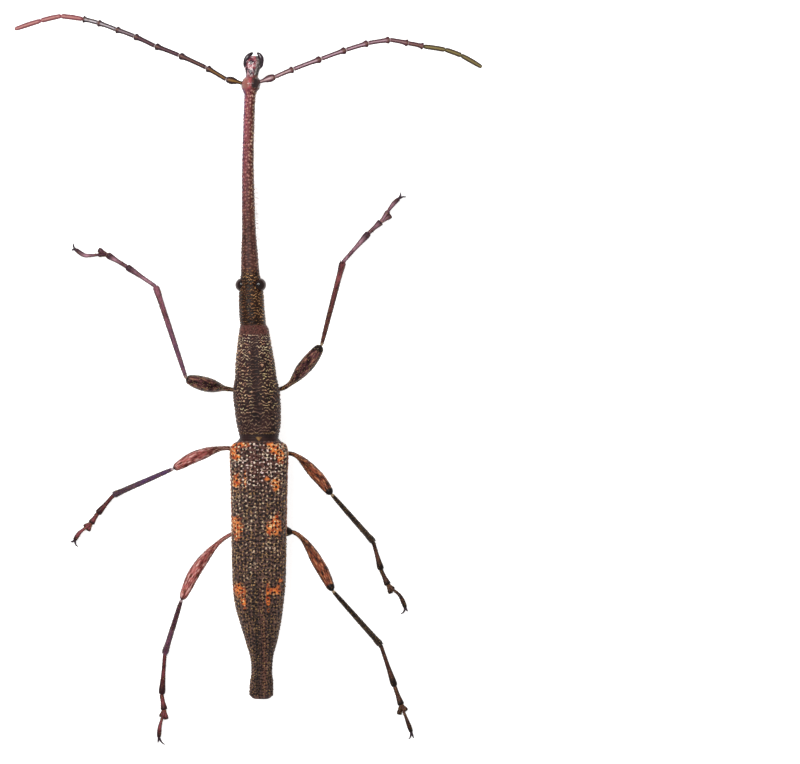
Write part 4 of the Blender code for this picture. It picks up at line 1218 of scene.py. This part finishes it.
def make_hip(leg):
    """The coxa, a short barrel pointing down, and the trochanter, a bead at the thigh's root."""
    hip, _, side = hip_of(leg)
    out = np.array([*LEGS[leg][0], SIDE_Z]) - hip
    out /= np.linalg.norm(out)
    shares = np.linspace(0, 1, 40)
    top = hip + np.array([-0.25 * SIDES[side], 0, 0.62])
    barrel = sweep(along([top, hip, hip + out * 0.45], shares),
                   taper(shares, *BARREL_RADIUS, 0.1, 0.3), up=(0.0, 1.0, 0.0))
    shown = HIP_SHOWN.get(leg, 0.0)
    sizes = [0.28, 0.36, 0.24 - 0.12 * shown]
    reach = (0.3, 0.65 + 0.7 * shown, 1.02 + 1.1 * shown)
    bead = sweep(along([hip + out * far for far in reach], shares),
                 taper(shares, [0, 0.5, 1], sizes, 0.2, 0.3) * (1 + 0.35 * shown))
    skin(f"coxa_{leg}_skin", [barrel, bead], paint_of("hip", leg), [f"coxa_{leg}"])


for leg in LEGS:
    make_hip(leg)
    grid, dimple = make_thigh(leg)
    spots = sown(grid, 1500, 0.25 + 0.5 * dimple, 40 + len(leg))
    scales(f"femur_{leg}_scales", spots, 0.15, 0.028,
           GOLD_SCALES if leg.startswith("front") else BRONZE_SCALES, seed=41)
print("hips and thighs made")

# %% [markdown]
# ## Shins and feet
#
# The shin is a nearly straight rod that widens to a blunt end with two short spurs. The foot
# has four joints that can be seen: a long first one, a short second, a third cleft into two
# lobes, and a slim bent one that carries the claws. Each of the first three is a thin rod with a
# dark knob at its far end. They press on the floor: what would lie under it is flattened up to
# a height of zero. Shins and feet are painted dark along both sides as shade, where their surface
# turns away.

# %% Shins
SHIN_RADIUS = ([0.0, 0.05, 0.16, 0.5, 0.85, 0.95, 1.0], [0.15, 0.18, 0.22, 0.26, 0.28, 0.33, 0.31])
SHIN_COUNT = 36
SHIN_BOW = 0.22
SPUR_LENGTH = 0.34
SPUR_RADIUS = np.linspace(0.06, 0.012, 16)


def make_shin(leg):
    """A rod from knee to ankle with a slim neck, blunt end and two spurs."""
    knee = np.array([*LEGS[leg][2], KNEE_Z[leg.split("_")[0]] - 0.05])
    ankle = np.array([*LEGS[leg][3], ANKLE_Z])
    shares = np.linspace(0, 1, 150)
    line = along([knee, (knee + ankle) / 2 + np.array([0, 0, SHIN_BOW]), ankle], shares)
    radius = taper(shares, *SHIN_RADIUS, 0.025, 0.02)
    length = np.linalg.norm(ankle - knee)
    dimple = dimples(shares, SHIN_COUNT, length, 15) * band(shares, 0.08, 0.97, 0.05)[:, None]
    rod = raise_grid(sweep(line, radius, radius * 0.92, SHIN_COUNT), -0.022 * dimple)
    ahead = (ankle - knee) / length
    across = np.cross(ahead, [0, 0, 1])
    across /= np.linalg.norm(across)
    spurs = []
    for turn in SIDES.values():
        root = ankle - ahead * 0.12 + across * turn * 0.17
        tip = root + ahead * SPUR_LENGTH + across * turn * 0.12
        tip[2] = max(tip[2], 0.08)
        line = along([root, (root + tip) / 2, tip], np.linspace(0, 1, len(SPUR_RADIUS)))
        spurs.append(sweep(line, SPUR_RADIUS, count=12))
    # edge: painted shade along the shin's sides.
    facts = {"knee": 1 - stretch(shares, 0.015, 0.035)[:, None], "dimple": dimple,
             "upper": 1 - stretch(shares, 0.45, 0.65)[:, None],
             "streak": streaks(shares, SHIN_COUNT, length, 57) * 0.7,
             "edge": 0.85 * stretch(side_share(rod, 1), 0.45, 0.88)}
    skin(f"tibia_{leg}_skin", [rod] + spurs, paint_of("shin", leg),
         [f"tibia_{leg}"], {key: [values, 0.0, 0.0] for key, values in facts.items()})
    return rod


for leg in LEGS:
    spots = sown(make_shin(leg), 900, 0.5, 60 + len(leg))
    scales(f"tibia_{leg}_hairs", spots, 0.17, 0.022, BRONZE_SCALES, tilt=0.35,
           seed=61)
print("six shins made")

# %% Feet
SOLE = 0.0
FOOT_Z = (ANKLE_Z - 0.06, 0.26, 0.24)
LOBE_Z = 0.19
SLIM_Z = (0.46, 0.34)
SLIM_RADIUS = ([0, 0.35, 0.8, 1], [0.11, 0.14, 0.22, 0.18])
CLAW_RADIUS = np.linspace(0.13, 0.045, 20)
CLAW_TIP_Z = 0.06
HAIRS_FROM_Z = 0.10


def on_floor(grid):
    """Presses every point of a grid that would be under the floor up to the sole."""
    grid[:, :, 2] = np.maximum(grid[:, :, 2], SOLE)
    return grid


def foot_joint(start, end, thin, wide, level):
    """A thin rod that swells to a knob near its far end, flat below."""
    shares = np.linspace(0, 1, 44)
    sizes = [thin, thin * 1.1, thin * 1.45, wide, wide * 0.85]
    radius = taper(shares, [0.0, 0.45, 0.72, 0.9, 1.0], sizes, 0.08, 0.06)
    line = along([start, (start + end) / 2, end], shares)
    return on_floor(sweep(line, radius, radius * level, 30))


def make_foot(leg):
    """Two joints, two lobes, the slim joint and the claws, each rooted in the one before."""
    ankle, middle, end, *lobes = (np.array([*place, z]) for place, z in
                                  zip(LEGS[leg][3:8], (*FOOT_Z, LOBE_Z, LOBE_Z)))
    bend, root = (np.array([*place, z]) for place, z in zip(LEGS[leg][8:10], SLIM_Z))
    ahead = (end - middle) / np.linalg.norm(end - middle)
    parts = [foot_joint(ankle + (ankle - middle) * 0.04, middle, 0.18, 0.32, 0.85),
             foot_joint(middle - ahead * 0.12, end, 0.19, 0.32, 0.85)]
    parts += [foot_joint(end - ahead * 0.10, lobe, 0.17, 0.24, 0.8) for lobe in lobes]
    shares = np.linspace(0, 1, 60)
    start = end + ahead * 0.10 + np.array([0, 0, 0.12])
    slim = taper(shares, *SLIM_RADIUS, 0.05, 0.05)
    parts.append(sweep(along([start, bend, root], shares), slim, count=26))
    knobs = [stretch(np.linspace(0, 0.9, len(part)), 0.6, 0.78)[:, None] for part in parts]
    # Painted shade along the sides of every joint of the foot.
    edges = [0.9 * stretch(side_share(part, 1), 0.35, 0.82) for part in parts]
    skin(f"tarsus_{leg}_skin", parts, paint_of("foot", leg), [f"tarsus_{leg}"],
         {"knee": knobs, "edge": edges})
    hooks = []
    onward = (root - bend) / np.linalg.norm(root - bend)
    for place in LEGS[leg][10:]:
        tip = np.array([*place, CLAW_TIP_Z])
        knuckle = (root + tip) / 2 + onward * 0.10 + np.array([0, 0, 0.08])
        line = along([root - onward * 0.06, knuckle, tip], shares[::3])
        hooks.append(on_floor(sweep(line, CLAW_RADIUS, count=16)))
    skin(f"claws_{leg}", hooks, JAW_PAINT)
    return parts


for leg in LEGS:
    spots = sown_on(make_foot(leg), 130, 0.8, 80)
    clear = spots[0][:, 2] > HAIRS_FROM_Z
    scales(f"tarsus_{leg}_hairs", [values[clear] for values in spots], 0.17, 0.020,
           BRONZE_SCALES, tilt=0.45, seed=81)
print("six feet made")

# %% [markdown]
# ## Feelers
#
# Each feeler has eleven joints. A joint is a thin rod that swells towards its far end, so the
# whole looks like a row of long beads, and the last three form a slightly thicker, paler club.
# The ends of every joint are read off the picture. They are swept like the legs, and clad in
# short hairs that stand out a little.

# %% Feelers
TIP_Z = 3.26
FEELER_LIFT = ([0.5, 2.3, 6.7, 10.9, 15.6, 18.1, 22.0], [0.0, 0.1, 0.7, 1.2, 1.35, 1.3, 0.9])
FEELERS = {
    "left": [(-0.55, 27.85), (-2.06, 28.22), (-3.90, 29.30), (-6.47, 30.47), (-8.73, 31.33),
             (-10.68, 32.25), (-12.39, 32.88), (-14.10, 33.50), (-15.50, 33.84), (-17.52, 34.12),
             (-19.39, 33.69), (-21.89, 32.88)],
    "right": [(1.05, 27.95), (2.60, 28.46), (4.30, 29.17), (6.92, 30.13), (9.25, 30.96),
              (11.34, 31.59), (13.36, 31.89), (15.08, 31.56), (16.51, 31.26), (18.53, 30.96),
              (20.03, 30.43), (21.97, 29.32)],
}
CLUB_START = 8
CLUB_EDGE = {"left": 0.55, "right": 0.9}
SCAPE_RADIUS = ([0, 0.25, 0.68, 0.9, 1.0], [0.15, 0.18, 0.36, 0.30, 0.19])
BEAD_RADIUS = ([0, 0.06, 0.5, 0.76, 0.91, 1.0], [0.14, 0.21, 0.21, 0.24, 0.345, 0.22])
CLUB_JOINT_RADIUS = ([0, 0.12, 0.5, 0.9, 1.0], [0.14, 0.22, 0.24, 0.24, 0.17])
LAST_RADIUS = ([0, 0.15, 0.5, 0.85, 1.0], [0.15, 0.23, 0.24, 0.21, 0.14])
JOINT_RADII = [SCAPE_RADIUS] + [BEAD_RADIUS] * 7 + [CLUB_JOINT_RADIUS] * 2 + [LAST_RADIUS]


def feeler_grids(name):
    """Eleven beads along the measured ends, each lifted to its height over the floor."""
    ends = np.array([(x, y, TIP_Z + smooth(abs(x), *FEELER_LIFT)) for x, y in FEELERS[name]])
    shares = np.linspace(0, 1, 44)
    grids = []
    for start, end, radii in zip(ends[:-1], ends[1:], JOINT_RADII):
        back = start - (end - start) / np.linalg.norm(end - start) * 0.08
        line = along([back, (back + end) / 2 + np.array([0, 0.02, 0]), end], shares)
        grids.append(sweep(line, taper(shares, *radii, 0.04, 0.05), count=28))
    return grids


def feeler_facts(grid, joint, club_edge):
    """Painted highlight on a joint's top, painted shade on its sides, root, knob and how far out
    it lies.
    """
    shares = np.linspace(0, 1, len(grid))[:, None]
    top = np.clip(np.sin(turns(grid.shape[1])), 0, 1) ** 12 * band(shares, 0.10, 1.2, 0.12)
    edge = side_share(grid, 0.7) * band(shares, 0.05, 2, 0.06)
    club = float(joint >= CLUB_START)
    return {"top_highlight": top, "edge": edge * (club_edge if club else 1.0),
            "root": band(shares, -1, 0.06, 0.04) * (1 - club),
            "knob": band(shares, 0.86, 2, 0.08) * (1 - club),
            "club": club, "onward": joint / CLUB_START}


def feeler_paint(name, dark, light, side, clubs, top_highlight_colours):
    """Feeler chitin, thin and a little see-through; its painted top highlight changes from root to
    tip.
    """
    paint = Paint(name, 0.30, 1.55, Specular_IOR_Level=0.10)
    top_highlight = paint.over(top_highlight_colours[0], ("onward", 0.10, 0.30, top_highlight_colours[1]), ("onward", 0.55, 0.80, top_highlight_colours[2]),
                      ("knob", 0, 1, "#8a675c"))
    # Painted light: a highlight along each joint's top, also on the club, and shade along the
    # sides.
    return paint.finish(paint.over(
        dark, ((1.3,), 0.35, 0.65, light), ("top_highlight", 0, 1, top_highlight),
        ("club", 0, 1, paint.over(clubs[0], ("top_highlight", 0, 1, clubs[1]))), ("edge", 0, 1, side),
        ("root", 0, 1, "#c4b2b2")), 0.06, 0.008)


FEELER_PAINTS = {
    "left": feeler_paint("rosy_feeler_chitin", "#3c2530", "#5e3e50", "#1a0c18",
                         ("#a65c66", "#d2928e"), ("#a87c44", "#7e5e66", "#f2eaf2")),
    "right": feeler_paint("tawny_feeler_chitin", "#6a303c", "#8c4c60", "#2a0e1a",
                          ("#5e563a", "#a0905e"), ("#ecc8cc", "#d6b2c2", "#94706e")),
}
for name in SIDES:
    grids = feeler_grids(name)
    rows = [feeler_facts(grid, k, CLUB_EDGE[name]) for k, grid in enumerate(grids)]
    skin(f"feeler_{name}_skin", grids, FEELER_PAINTS[name],
         [f"antenna_{name}_{run}" for run in ("scape", "funicle", "club")],
         {key: [row[key] for row in rows] for key in rows[0]})
    scales(f"feeler_{name}_hairs", sown_on(grids, 90, 0.8, 90), 0.16, 0.018, BRONZE_SCALES,
           tilt=0.45, seed=91)
